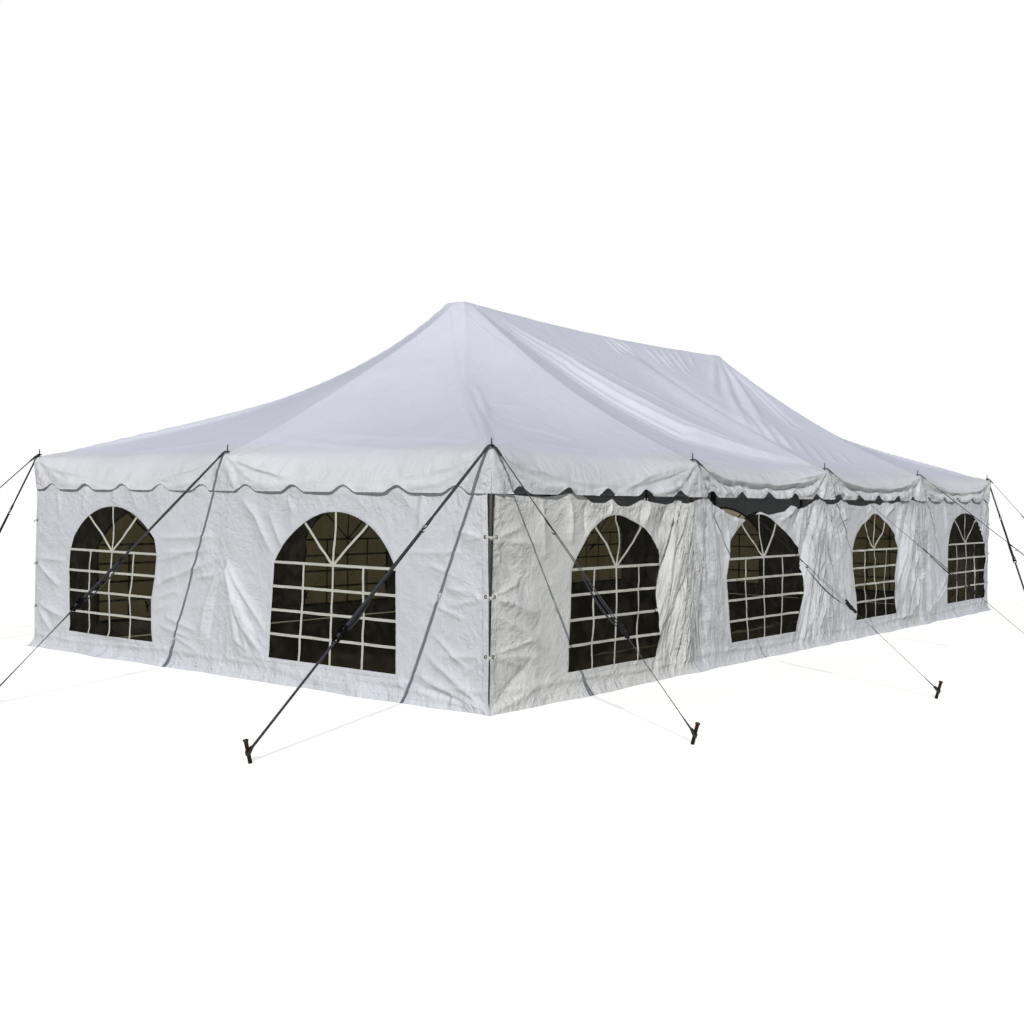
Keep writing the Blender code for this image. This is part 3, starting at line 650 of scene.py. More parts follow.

# %% [markdown]
# Then come the folds. Each is a path over the plan with a width and a height, as read
# from the front of the tent: the long stretched band from the near peak to the middle
# pole with the hollow beside it, the fan of short tension folds under the far peak, the
# puckers along the near hip and the thin lines that run along the eaves. A cloth
# simulation would find folds of its own, but not these ones, so they are listed one by
# one. The back, which isn't seen, repeats them turned half round.

# %% Folds of the roof
# Each row in millimetres: width at its start and end, height (negative for a valley),
# then the points of its path as x and y
ROOF_FOLDS = [
    (30, 50, 20, -3030, -50, -2260, -930, -1980, -1490, -1640, -2140, -800, -2590, 0, -3000),
    (22, 32, 24, -2980, -80, -2190, -880, -1900, -1450, -1550, -2080, -740, -2540),
    (22, 32, 26, -2900, -100, -2080, -840, -1770, -1420, -1400, -2020, -640, -2470),
    (22, 32, 22, -2800, -120, -1960, -800, -1630, -1370, -1250, -1950, -560, -2380),
    (20, 30, 10, -2600, -200, -1820, -920, -1450, -1460, -1100, -1920),
    (20, 30, 9, -2300, -220, -1520, -920, -1100, -1420),
    (50, 70, 14, -2000, -300, -1100, -1200, -500, -2000), (300, 300, 50, 0, -300, 0, -1400, 0, -2800),
    (160, 200, -45, 300, -200, 420, -1200, 500, -2500), (50, 90, 44, 2980, -50, 2500, -300, 950, -1100),
    (40, 90, -30, 2980, -60, 2500, -360, 1200, -1100),
    (50, 90, 44, 2980, -80, 2480, -420, 1500, -1050, 340, -1950),
    (40, 80, -34, 2980, -100, 2520, -520, 1560, -1200, 600, -1950),
    (40, 80, 36, 2980, -120, 2550, -600, 1600, -1350, 700, -2000),
    (40, 70, 36, 2980, -160, 2700, -800, 2000, -1750),
    (40, 70, -30, 2980, -160, 2800, -840, 2200, -1750), (40, 50, 28, 1420, -1270, 230, -2220),
    (40, 50, 28, 1160, -1610, 280, -2420), (35, 50, 28, 1270, -1790, 430, -2490),
    (35, 50, 28, 1480, -1970, 470, -2650), (35, 50, 24, 1580, -2160, 850, -2660),
    (35, 50, 20, 1910, -2200, 1300, -2620), (35, 50, 16, 2200, -2300, 1750, -2620),
    (30, 30, 22, -100, -30, -250, -450), (25, 30, -16, -20, -30, -60, -400),
    (30, 30, 26, 60, -30, 160, -460), (30, 30, 16, 300, -30, 340, -300),
    (30, 35, 24, 850, -80, 660, -500), (30, 35, 24, 1100, -80, 820, -600),
    (30, 35, 22, 1320, -80, 950, -560), (30, 35, 22, 1520, -80, 1120, -620),
    (30, 35, 22, 1750, -80, 1320, -520), (30, 35, 16, 2100, -80, 1700, -400),
    (50, 60, 30, -4300, -1280, -5000, -2020, -5820, -2800),
    (40, 50, -22, -4500, -1340, -5100, -2000, -5860, -2720), (30, 40, 20, -4420, -1570, -4980, -2120),
    (30, 40, 18, -4100, -1200, -4700, -1900), (40, 40, 8, -5500, -700, -5620, -2080),
    (30, 40, 10, -5800, -1300, -5980, -2500), (30, 40, 10, -5700, -300, -5840, -1600),
    (30, 40, 9, -4420, -1620, -3900, -1800), (30, 40, 10, -4750, -2100, -4200, -2500),
    (30, 40, 10, -5200, -2620, -4100, -2780), (30, 40, 12, -2700, -2860, -1400, -2800, -300, -2900),
    (30, 40, 10, 400, -2860, 1600, -2820, 2700, -2900), (30, 50, 9, -5960, -2920, -5520, -1900),
    (30, 50, 8, -5940, -2930, -5280, -2140), (30, 50, -8, -5920, -2940, -5100, -2260),
    (30, 50, 9, -5900, -2950, -4900, -2440), (30, 50, 8, -5880, -2970, -4600, -2620),
    (30, 50, 8, -5980, -2900, -5760, -1700), (50, 60, 18, 4350, -1320, 5050, -1960, 5800, -2800),
    (40, 50, 10, 4200, -1600, 4800, -2300), (50, 60, 16, -4400, 1280, -5100, 2040, -5820, 2760),
    (30, 40, 8, -5620, 500, -5800, 2000),
]
# The long band: its crest from the peak to the eave as (y, x), and how deep its foot lies
BAND_Y = (-3.0, -2.59, -2.14, -1.49, -0.93, -0.05)
BAND_X = (0.0, -0.80, -1.64, -1.98, -2.26, -3.03)
BAND_DEPTH = (0.0, 0.07, 0.13, 0.15, 0.13, 0.0)
# How far each panel between seams bellies down, and its corners in bays from the middle
ROOF_PANELS = [
    (0.030, (-1, 0), (-2, 0), (-2, -1)), (0.030, (-1, 0), (-2, 0), (-2, 1)),
    (0.030, (-1, 0), (-2, -1), (-1, -1)), (0.030, (-1, 0), (-2, 1), (-1, 1)),
    (0.020, (-1, 0), (-1, -1), (0, -1)), (0.020, (0, 0), (-1, 0), (0, -1)),
    (0.030, (0, 0), (1, 0), (0, -1)), (0.030, (1, 0), (1, -1), (0, -1)),
]


def belly(x, y, depth, a, b, c):
    """A panel's sag: nothing along its three seams, depth at its middle (27 brings that to 1)."""
    across = (b[1] - c[1]) * (a[0] - c[0]) + (c[0] - b[0]) * (a[1] - c[1])
    first = ((b[1] - c[1]) * (x - c[0]) + (c[0] - b[0]) * (y - c[1])) / across
    second = ((c[1] - a[1]) * (x - c[0]) + (a[0] - c[0]) * (y - c[1])) / across
    third = 1.0 - first - second
    inside = np.minimum(np.minimum(first, second), third) > 0.0
    return np.where(inside, -27.0 * depth * first * second * third, 0.0)


def long_band(x, y):
    """Cloth that falls away from the seam of the first pole, then rises sharply to a crest."""
    crest = np.interp(y, BAND_Y, BAND_X)
    depth = np.interp(y, BAND_Y, BAND_DEPTH)
    falling = np.clip((x + BAY) / np.maximum(crest + BAY, 0.02), 0.0, 1.0)
    rising = smooth_step(x - crest, 0.0, 0.42)
    return np.where((y < 0.0) & (x > -BAY), -depth * falling * (1.0 - rising), 0.0)


def roof_relief(x, y):
    """Folds and bellies on top of the plain roof; the back repeats the front turned round."""
    total = np.zeros(x.shape)
    x = leaned(x, y)
    for turn in (1.0, -1.0):
        for width, end_width, height, path in in_metres(ROOF_FOLDS):
            total += fold(turn * x, turn * y, path, width, height, end_width)
        for depth, *corners in ROOF_PANELS:
            a, b, c = [(BAY * bays_x, BAY * bays_y) for bays_x, bays_y in corners]
            total += belly(turn * x, turn * y, depth, a, b, c)
        total += long_band(turn * x, turn * y)
    inward = np.maximum(HALF_LENGTH - np.abs(x), 0.0), np.maximum(HALF_WIDTH - np.abs(y), 0.0)
    return total * smooth_step(np.minimum(*inward), 0.0, 0.12)


print(len(ROOF_FOLDS), "folds and", len(ROOF_PANELS), "panels, on each half of the roof")

# %% [markdown]
# At the eave the sheet rolls over the edge and hangs as a scalloped valance. The two
# are one cloth here, so the roll has no break in it. The grid of the roof is
# finer near its edge, where it turns down, and the valance's rows continue from the
# last row of the grid. Between poles the roll lies a little inside their line. In the
# slack bays of the front it bulges out instead, and the valance is drawn in under it.

# %% The roof's grid
EDGE_STEPS = np.array([0.0, 0.006, 0.014, 0.024, 0.036, 0.050, 0.067, 0.087, 0.110, 0.136, 0.166])


def half_lines(step):
    """Distances from the ridge or a hip's start out to the edge, closest together at the edge."""
    inner = BAY + EDGE_OUT - EDGE_STEPS[-1]
    count = int(round(inner / step)) + 1
    return np.concatenate([np.linspace(0.0, inner, count), (BAY + EDGE_OUT - EDGE_STEPS[:-1])[::-1]])


middle_x = np.linspace(-BAY, BAY, int(round(2 * BAY / 0.020)) + 1)
lines_x = np.concatenate([-BAY - half_lines(0.036)[:0:-1], middle_x, BAY + half_lines(0.072)[1:]])
lines_y = np.concatenate([-half_lines(0.028)[:0:-1], half_lines(0.047)])
grid_x, grid_y = np.meshgrid(lines_x, lines_y, indexing="ij")
# The roll's place between poles, off their line: pulled in, or bulged out where tucked
PULLED_IN, TUCK_BULGE, ROLL_REACH = -0.022, 0.032, 0.08
end_roll = np.where(grid_x < 0.0, PULLED_IN, 0.0) * side_hang(grid_y)
tucked_front = by_bay(TUCKED["front"], grid_x + HALF_LENGTH)
front_roll = (PULLED_IN + TUCK_BULGE * tucked_front) * side_hang(grid_x)
side_roll = np.where(grid_y < 0.0, front_roll, 0.0)
roll_x = end_roll * np.exp(-(((HALF_LENGTH + EDGE_OUT - np.abs(grid_x)) / ROLL_REACH) ** 2))
roll_y = side_roll * np.exp(-(((HALF_WIDTH + EDGE_OUT - np.abs(grid_y)) / ROLL_REACH) ** 2))
rolled_x, rolled_y = grid_x + np.sign(grid_x) * roll_x, grid_y + np.sign(grid_y) * roll_y
roof_points = np.stack([rolled_x, rolled_y, roof_height(grid_x, grid_y)], axis=-1)
roof_points[..., 2] += roof_relief(grid_x, grid_y)
flat_points = roof_points.reshape(-1, 3)
inward = np.minimum(HALF_LENGTH - np.abs(grid_x), HALF_WIDTH - np.abs(grid_y)).ravel()
waves = 0.0035 * ripple(flat_points, 1.7, 3.0) + 0.0015 * ripple(flat_points, 6.0, 8.0)
flat_points[:, 2] += smooth_step(inward, 0.0, 0.2) * waves
# The CAD peak is as high as the cloth may go
trimmed = float(flat_points[:, 2].max()) - PEAK_Z
flat_points[:, 2] = np.minimum(flat_points[:, 2], PEAK_Z)
print("roof grid", grid_x.shape, "trimmed by", round(trimmed, 4), "m at the peak")

# %% [markdown]
# The valance goes once round the edge of the grid. Its columns keep the grid's
# spacing, and each has twelve rows down to the hem. The hem has five round notches
# in each bay. Creases run from every pole over the shoulder and down the valance, and
# a small fan of them hangs below each eyelet.

# %% Shape of the valance
NOTCH_WIDTH, NOTCH_RISE = 0.31, 0.062
VALANCE_ROWS = np.array([0.04, 0.10, 0.18, 0.28, 0.39, 0.50, 0.61, 0.72, 0.82, 0.91, 0.97, 1.0])


def hem_height(distance):
    """Height of the hem at a distance along a side: a bell-shaped notch in each pitch."""
    part = np.clip(np.abs(distance % NOTCH_PITCH - NOTCH_PITCH / 2) / (NOTCH_WIDTH / 2), 0.0, 1.0)
    return VALANCE_BOTTOM_Z + NOTCH_RISE * 0.5 * (1.0 + np.cos(np.pi * part))


# Ribs of the fan under an eyelet: how far it spreads for each metre down, height, width
FAN = (
    (0.10, -0.006, 0.012), (0.22, 0.012, 0.012), (0.36, -0.010, 0.012), (0.55, 0.020, 0.018),
    (0.80, -0.010, 0.020),
)
# Creases from the poles over shoulder and valance: width, height, then (distance, depth) points
# that are turned round for the other side of a pole
POLE_CREASES = [
    (0.016, 0.034, [(0.02, 0.02), (0.13, 0.07), (0.33, 0.20), (0.55, 0.27), (1.10, 0.30)]),
    (0.014, -0.022, [(0.03, 0.03), (0.10, 0.10), (0.26, 0.22), (0.50, 0.30)]),
    (0.014, 0.026, [(0.04, 0.02), (0.35, 0.08), (0.85, 0.17), (1.45, 0.22)]),
    (0.012, 0.022, [(0.03, 0.05), (0.08, 0.18), (0.20, 0.31)]),
    (0.013, -0.020, [(0.06, 0.06), (0.45, 0.17), (0.95, 0.26)]),
    (0.012, 0.020, [(0.30, 0.24), (0.70, 0.31), (1.20, 0.33)]),
    (0.014, 0.018, [(0.10, 0.01), (0.70, 0.06), (1.40, 0.12)]),
    (0.012, 0.019, [(0.60, 0.12), (1.00, 0.24), (1.20, 0.31)]),
]


def eave_creases(side, distance, depth):
    """How far the creases stand off the cloth near the eave of one side."""
    stretched = np.stack([0.14 * distance, depth, np.full(np.shape(distance), 3.0 * len(side))], axis=-1)
    total = 0.010 * (0.3 - np.abs(ripple(stretched, 13.0, 2.0))) * smooth_step(depth, 0.02, 0.16)
    bays, share = SIDES[side][2], 0.6 if side == "left" else 1.0
    for number in range(bays + 1):
        for order, (width, height, path) in enumerate(POLE_CREASES):
            for way in (-1.0, 1.0):
                if (number == 0 and way < 0) or (number == bays and way > 0):
                    continue
                reach = 0.85 + 0.25 * math.sin(5.1 * number + 2.3 * order + way)
                line = [(number * BAY + way * d * reach, z * (0.9 + 0.1 * reach)) for d, z in path]
                total = total + fold(distance, depth, line, width, share * height, 1.6 * width, sharp=True)
    return total


def from_pole(distance):
    """Distance along a side to the nearest side pole."""
    return np.abs((distance + BAY / 2) % BAY - BAY / 2)


def fan_creases(distance, depth):
    """Creases that spread from each eyelet down the valance, like the ribs of a fan."""
    reach = np.clip(depth / 0.10, 0.0, 1.0)
    total = np.zeros(np.shape(distance))
    for slope, height, width in FAN:
        off_rib = np.abs(from_pole(distance) - slope * depth)
        total = total + height * reach * np.exp(-off_rib / width)
    return total


def valance_out(side, distance, depth, share):
    """How far the valance stands off the roof's edge line, at a share of its height."""
    hang = side_hang(distance)
    tucked = by_bay(TUCKED[side], distance)
    roll = 0.008 * share * tucked + (1.0 - tucked) * (0.004 * share + PULLED_IN * (1.0 - share))
    crest = 0.010 * np.exp(-((share / 0.16) ** 2)) - 0.040 * np.exp(-(((share - 0.40) / 0.17) ** 2))
    sway = 0.007 * np.sin(2 * np.pi * distance / 0.61 + 1.1) * share**1.5
    creases = fan_creases(distance, depth) + eave_creases(side, distance, depth)
    return hang * (roll + tucked * crest) + sway + creases


print(len(POLE_CREASES), "creases on each side of a pole,", len(VALANCE_ROWS), "rows in the valance")

# %% [markdown]
# The creases start on the roof. Near its edge, each point of the grid is moved out of
# the cloth: sideways where the cloth hangs steep, upwards where it lies flat. Further
# in, they fade away.

# %% Creases over the shoulder
for side, (_, _, bays) in SIDES.items():
    start, along, outward = side_axes(side)
    spread = flat_points - start
    d, inside = spread @ along, EDGE_OUT - spread @ outward
    near = (inside < 0.36) & (inside > 0.001) & (d > 0.0) & (d < bays * BAY)
    steep = 1.0 - smooth_step(inside[near], 0.0, 0.22)
    height = eave_creases(side, d[near], EAVE_Z - flat_points[near, 2])
    height = height * (1.0 - smooth_step(inside[near], 0.24, 0.36))
    flat_points[near] += np.outer(height * steep, outward) + np.outer(
        height * (1.0 - steep), (0.0, 0.0, 1.0),
    )

print("roof creased along", len(SIDES), "sides")

# %% [markdown]
# Then the valance is hung from the grid's rim, row by row. At a corner of the tent the
# two sides meet in a round bend, so the rows there are slid along and pulled in. Small
# waves are added last, more of them where the cloth is slack.

# %% Rows of the valance
last_x, last_y = len(lines_x) - 1, len(lines_y) - 1
loops = {
    "front": [(i, 0) for i in range(last_x)],
    "right": [(last_x, j) for j in range(last_y)],
    "back": [(i, last_y) for i in range(last_x, 0, -1)],
    "left": [(0, j) for j in range(last_y, 0, -1)],
}
top_index, side_names, distances = [], [], []
for side, loop in loops.items():
    start, along, _ = side_axes(side)
    for i, j in loop:
        top_index.append(i * len(lines_y) + j)
        side_names.append(side)
        distances.append(float((np.array([lines_x[i], lines_y[j], 0.0]) - start) @ along))
top_index, distances = np.array(top_index), np.array(distances)
tops = flat_points[top_index]
away = np.array([side_axes(name)[2] for name in side_names])
on_side = {side: np.array([name == side for name in side_names]) for side in SIDES}
hems, slack = np.zeros(len(tops)), np.zeros(len(tops))
for side, here in on_side.items():
    hems[here] = hem_height(distances[here])
    slack[here] = by_bay(CRINKLED[side], distances[here])
slack = np.maximum(slack, 0.6 * np.exp(-((from_pole(distances) / 0.35) ** 2)))

sheet_points = [flat_points]
sheet_uv = [np.stack([grid_x.ravel(), grid_y.ravel()], axis=-1)]
hem_gaps, hem_crush = [], []
for share in VALANCE_ROWS:
    row, uv = np.zeros((len(tops), 3)), np.zeros((len(tops), 2))
    z = tops[:, 2] + (hems - tops[:, 2]) * share
    for side, here in on_side.items():
        start, along, outward = side_axes(side)
        length = SIDES[side][2] * BAY
        d = distances[here]
        stand = EDGE_OUT + valance_out(side, d, EAVE_Z - z[here], share)
        radius = 0.02 + 0.11 * share
        from_start, from_end = d + EDGE_OUT, length + EDGE_OUT - d
        nearest = np.minimum(from_start, from_end)
        bent = nearest < radius
        slid = np.where(bent, (radius + nearest) ** 2 / (4 * radius), nearest)
        pulled = np.where(bent, (radius - nearest) ** 2 / (4 * radius), 0.0)
        d_placed = np.where(from_start < from_end, slid - EDGE_OUT, length + EDGE_OUT - slid)
        out = EDGE_OUT + (stand - EDGE_OUT) * smooth_step(nearest, 0.0, 0.12) - pulled
        row[here] = start + np.outer(d_placed, along) + np.outer(out, outward)
        flat_out = EDGE_OUT + (tops[here][:, 2] - z[here])
        uv[here] = (start + np.outer(d, along) + np.outer(flat_out, outward))[:, :2]
    row[:, 2] = z
    crinkled = slack * smooth_step(share, 0.0, 0.5)
    waves = 0.010 * ripple(row, 6.0, 5.0) + 0.007 * ripple(row, 14.0, 9.0)
    row += away * (waves * crinkled)[:, None]
    hem_crush.append(crinkled)
    sheet_points.append(row)
    sheet_uv.append(uv)
    hem_gaps.append(z - hems)
print(len(tops), "columns of cloth round the tent")

# %% [markdown]
# The squares of the grid are cut in two along the slope, so that hips stay straight.
# Three marks ride on the points for the material: the distance to the nearest seam, how
# crinkled the cloth is, and how far down it lies towards the eave. The last sets a
# painted tint: bluish sky light high on the roof, neutral ground light low on it.

# %% Roof and valance as one sheet
count_x, count_y = grid_x.shape
roof_faces = []
for i in range(count_x - 1):
    for j in range(count_y - 1):
        a, b = i * count_y + j, (i + 1) * count_y + j
        if (lines_x[i] + lines_x[i + 1]) * (lines_y[j] + lines_y[j + 1]) > 0.0:
            roof_faces += [(a, b, b + 1), (a, b + 1, a + 1)]
        else:
            roof_faces += [(a, b, a + 1), (b, b + 1, a + 1)]
first_of_row = count_x * count_y + len(tops) * np.arange(len(VALANCE_ROWS))
rings = [top_index] + [first + np.arange(len(tops)) for first in first_of_row]
valance_faces = [
    (int(lower[n - 1]), int(lower[n]), int(upper[n]), int(upper[n - 1]))
    for upper, lower in zip(rings, rings[1:]) for n in [*range(1, len(tops)), 0]
]
# A round patch is sewn on round each side pole's eyelet
PATCH_RADIUS = 0.10
away_x, away_y = np.abs(grid_x), np.abs(grid_y)
off_hip = np.abs(away_x - BAY - away_y) / math.sqrt(2)
to_poles = [np.hypot(grid_x - foot[0], grid_y - foot[1]) for _, foot, _ in pole_places()]
seams = [away_y, np.abs(away_x - BAY)]
seams += [np.where(away_x < BAY, away_x, 1.0), np.where(away_x > BAY, off_hip, 1.0)]
seams += [np.abs(reach - PATCH_RADIUS) for reach in to_poles]
roof_gap = np.minimum.reduce(seams).ravel()
all_points = np.concatenate(sheet_points)
all_gaps = np.concatenate([roof_gap] + hem_gaps)
near_pole = np.minimum.reduce(to_poles).ravel()
near_edge = np.minimum(HALF_LENGTH + EDGE_OUT - away_x, HALF_WIDTH + EDGE_OUT - away_y).ravel()
by_poles = 0.3 * np.exp(-((near_pole / 0.45) ** 2))
by_edge = 0.25 * np.exp(-((near_edge / 0.12) ** 2))
roof_crush = np.maximum(by_poles, by_edge)
# Painted light: towards its edge the roof takes the neutral tint of ground light in place of the sky's blue
past_edge = smooth_step(0.30 - near_edge + 0.10 * (1.0 - side_hang(grid_x + BAY).ravel()), 0.0, 0.16)
marks = {
    "seam_gap": all_gaps,
    "crush": np.concatenate([roof_crush] + hem_crush),
    "eave": np.concatenate([past_edge, np.ones(len(tops) * len(VALANCE_ROWS))]),
}
roof = add_sheet(
    "roof_and_valance", all_points, roof_faces + valance_faces, np.concatenate(sheet_uv), marks,
    [roof_cloth],
)
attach(roof, "root")
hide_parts("canopy", "valance")
print("roof and valance:", len(all_points), "points,", len(roof_faces) + len(valance_faces), "faces")

# %% [markdown]
# A wall panel hangs behind the valance, is gathered beside each pole and stands on the
# ground with a loose skirt. Its window was cut square and true, but the hung cloth has
# pulled it out of shape: narrower here, slid sideways there. Each seen panel keeps a
# short list of its window's centre and width at a few heights, and the line that its
# top edge sags along. The two walls that aren't seen keep the regular window.

# %% How each wall hangs
SILL_Z, SPRING_Z, ARCH_RADIUS, ARCH_CENTRE_Z, HALF_WINDOW = 0.21, 1.045, 0.8545, 0.6355, 0.75
PLAIN_TOP = [(0, 1740), (500, 1700), (1524, 1690), (2548, 1700), (3048, 1740)]
# In millimetres: where each window was cut; then some heights, and at each of them the
# hung window's centre and its width for each metre of the cut one
PLAIN_WINDOW = (1524, (200,), (1524,), (1000,))
WINDOW_HANG = {
    "front_1": (
        1700, (250, 1050, 1250, 1380, 1450), (1700, 1712, 1745, 1717, 1675), (920, 910, 913, 889, 790),
    ),
    "front_2": (
        1525, (250, 850, 1050, 1250, 1390), (1525, 1500, 1482, 1402, 1352), (990, 1130, 1100, 1090, 965),
    ),
    "front_3": (
        1558, (270, 490, 655, 840, 1055, 1250, 1360, 1430),
        (1558, 1529, 1484, 1471, 1484, 1479, 1474, 1504), (820, 807, 823, 890, 944, 980, 860, 640),
    ),
    "front_4": (
        2006, (250, 800, 1065, 1320, 1430), (2006, 2001, 1966, 1936, 1926), (1090, 1100, 1056, 1134, 1250),
    ),
    "left_1": (
        1326, (270, 600, 850, 1080, 1190, 1410),
        (1326, 1306, 1331, 1351, 1361, 1353), (906, 910, 953, 963, 1020, 1018),
    ),
    "left_2": (1363, (200, 1030, 1250, 1380), (1363, 1393, 1408, 1423), (1000, 957, 950, 940)),
}
# Top edges in millimetres, as (distance along the bay, height)
WALL_TOPS = {
    "front_1": [
        (0, 1660), (300, 1640), (580, 1635), (990, 1681), (1230, 1593), (1470, 1590), (1610, 1632),
        (1750, 1566), (1940, 1562), (2200, 1624), (2500, 1595), (2650, 1580), (2800, 1630),
        (2930, 1586), (3048, 1620),
    ],
    "front_2": [
        (0, 1620), (250, 1665), (360, 1617), (510, 1570), (740, 1510), (1010, 1455), (1160, 1448),
        (1280, 1410), (1400, 1470), (1500, 1515), (1580, 1516), (1750, 1480), (2110, 1522),
        (2260, 1595), (2400, 1536), (2640, 1590), (2910, 1673), (3048, 1600),
    ],
    "front_3": [
        (0, 1600), (200, 1600), (390, 1680), (480, 1600), (790, 1582), (1070, 1590), (1420, 1627),
        (1780, 1593), (2100, 1682), (2260, 1609), (2760, 1680), (3048, 1640),
    ],
    "front_4": [
        (0, 1660), (400, 1700), (900, 1710), (1500, 1690), (2100, 1710), (2600, 1700), (3048, 1720),
    ],
    "left_1": [(0, 1800), (1524, 1735), (3048, 1800)],
    "left_2": [(0, 1800), (1524, 1735), (3048, 1800)],
}
LACING_HEIGHTS = (1.33, 0.88, 0.43)


def window_hang(name, v):
    """Centre and width factor of a panel's window at the heights v, fading to the cut shape."""
    made, *rows = WINDOW_HANG.get(name, PLAIN_WINDOW)
    at_foot = (0, made, 1000)
    heights, centres, widths = (np.array([foot, *row]) / 1000 for foot, row in zip(at_foot, rows))
    return made / 1000, np.interp(v, heights, centres), np.interp(v, heights, widths)


def top_line(name):
    """The sagging top edge as a smooth curve, at steps of about 23 mm."""
    line = np.array(WALL_TOPS.get(name, PLAIN_TOP)) / 1000
    u = np.linspace(0.0, BAY, 134)
    z = np.interp(u, line[:, 0], line[:, 1])
    padded = np.concatenate([[z[0]] * 2, z, [z[-1]] * 2])
    return u, (padded[:-4] + 2 * padded[1:-3] + 3 * padded[2:-2] + 2 * padded[3:-1] + padded[4:]) / 9


def warped(name, u, v):
    """Where a point of the cut panel hangs along its bay: the window moves, the ends stay."""
    made, centre, width = window_hang(name, v)
    low, high = made - HALF_WINDOW, made + HALF_WINDOW
    new_low, new_high = centre - HALF_WINDOW * width, centre + HALF_WINDOW * width
    inside = centre + (u - made) * width
    left_part = u * new_low / low
    right_part = BAY - (BAY - u) * (BAY - new_high) / (BAY - high)
    return np.where(u < low, left_part, np.where(u > high, right_part, inside))


print("panels with a measured window:", sorted(WINDOW_HANG))

# %% [markdown]
# The folds of the walls are read off the picture too. Cloth gathers at the points that
# it hangs from and falls from them in long slanting folds, tightens towards each pole at
# half height, and drags at the foot where it is pegged.

# %% Folds of the walls
# Each row in millimetres: width at its start and end, height (negative for a valley),
# then the points of its path as distance along the bay and height
FRONT_FOLDS = {
    1: [
        (14, 30, 10, 20, 885, 380, 985), (14, 30, 11, 20, 870, 330, 800),
        (14, 30, -9, 30, 860, 420, 620), (14, 30, 10, 20, 445, 580, 530),
        (14, 30, 9, 20, 430, 460, 300), (20, 40, 10, 60, 720, 620, 500),
        (14, 30, 9, 20, 1325, 360, 1400), (14, 30, 9, 20, 1310, 300, 1180),
        (40, 50, 18, 980, 1660, 1020, 1250), (30, 40, -16, 1225, 1590, 1250, 1330),
        (20, 30, -12, 1340, 1590, 1470, 1470), (20, 30, 12, 1610, 1630, 1570, 1480),
        (25, 30, 15, 2200, 1620, 2100, 1400), (20, 30, -14, 2090, 1590, 2050, 1400),
        (30, 40, -18, 2530, 1600, 2350, 1270),
        (35, 60, -26, 2760, 1620, 2630, 1370, 2400, 900, 2350, 450),
        (35, 40, 18, 2640, 1620, 2500, 1300, 2400, 1100),
        (40, 60, 24, 2850, 1640, 2760, 1350, 2550, 900, 2450, 350),
        (40, 50, -24, 2930, 1500, 2670, 950, 2530, 580, 2470, 200),
        (35, 50, -18, 3030, 1060, 2760, 730, 2620, 530, 2530, 200),
        (30, 50, 18, 3000, 1060, 2820, 700, 2720, 200), (30, 50, 12, 3000, 1030, 2930, 600, 2900, 250),
        (30, 40, 10, 20, 1304, 590, 1260), (50, 70, -14, 50, 1270, 466, 880),
        (40, 50, 12, 20, 877, 600, 700), (30, 40, 11, 20, 437, 610, 366),
        (40, 60, 17, 20, 10, 620, 148), (50, 80, -13, 20, 30, 500, 350),
        (30, 40, 10, 40, 850, 350, 550, 750, 420), (30, 50, 10, 600, 1600, 660, 1150),
    ],
    2: [
        (40, 80, 24, 30, 1600, 120, 875, 350, 300), (40, 50, -16, 100, 1500, 170, 900, 300, 500),
        (50, 60, 18, 170, 700, 760, 170), (50, 60, -12, 250, 720, 800, 250),
        (35, 50, 18, 220, 1680, 350, 1217, 400, 800), (30, 40, -14, 340, 1620, 450, 1300),
        (30, 40, 15, 510, 1580, 640, 1330, 680, 900), (30, 30, 14, 800, 1480, 880, 1360),
        (35, 40, 20, 2230, 1600, 1840, 1420), (30, 50, -16, 2350, 1580, 2100, 1300),
        (30, 50, 16, 2420, 1620, 2250, 1280, 2180, 900),
        (35, 50, 26, 2860, 1680, 2520, 1146, 2350, 777, 2250, 300),
        (30, 40, -20, 2750, 1620, 2450, 1150, 2280, 800),
        (35, 50, 22, 2960, 1660, 2660, 1034, 2450, 500),
        (25, 40, -18, 2910, 1620, 2600, 1100, 2400, 600),
        (30, 70, 26, 3030, 1060, 2680, 423, 2450, 100), (30, 50, 18, 3030, 1040, 3020, 550, 2900, 200),
        (30, 50, -18, 3030, 1020, 2850, 550, 2650, 150), (30, 40, 14, 2620, 1620, 2400, 1300),
    ],
    3: [
        (30, 40, 16, 180, 1620, 70, 1138), (35, 50, -20, 310, 1600, 550, 790, 660, 450),
        (35, 60, 22, 260, 1620, 420, 900, 550, 350), (30, 40, 14, 450, 1600, 600, 1200),
        (30, 80, 20, 20, 1050, 250, 150), (30, 60, -14, 20, 1000, 100, 100),
        (30, 40, 20, 2100, 1660, 1790, 1462), (20, 30, 12, 1330, 1610, 1260, 1490),
        (30, 40, 18, 2350, 1620, 2280, 1164), (25, 40, -16, 2220, 1600, 2200, 1200),
        (35, 50, 26, 2730, 1660, 2460, 1012, 2150, 500),
        (30, 50, -20, 2620, 1620, 2360, 1050, 2120, 650),
        (30, 50, -20, 2830, 1660, 2560, 1000, 2280, 400),
        (30, 50, 20, 2920, 1640, 2660, 950, 2400, 350), (30, 80, 26, 3030, 1020, 2500, 187, 2210, 50),
        (30, 60, 18, 3030, 1000, 2960, 312, 2470, 40),
    ],
    4: [
        (30, 50, 16, 290, 1690, 640, 1200), (40, 60, 18, 100, 1660, 400, 800),
        (30, 50, 16, 20, 1030, 110, 684, 100, 200), (40, 60, 14, 20, 1000, 390, 673, 500, 200),
        (50, 70, 17, 1190, 641, 680, 296, 100, 40), (50, 60, -10, 1160, 500, 600, 200),
        (40, 50, 9, 1160, 431, 460, 125), (30, 40, 14, 1000, 1660, 1120, 1195),
        (30, 40, 12, 1690, 1680, 1860, 1536), (30, 50, 14, 2330, 1690, 2680, 1363),
    ],
}
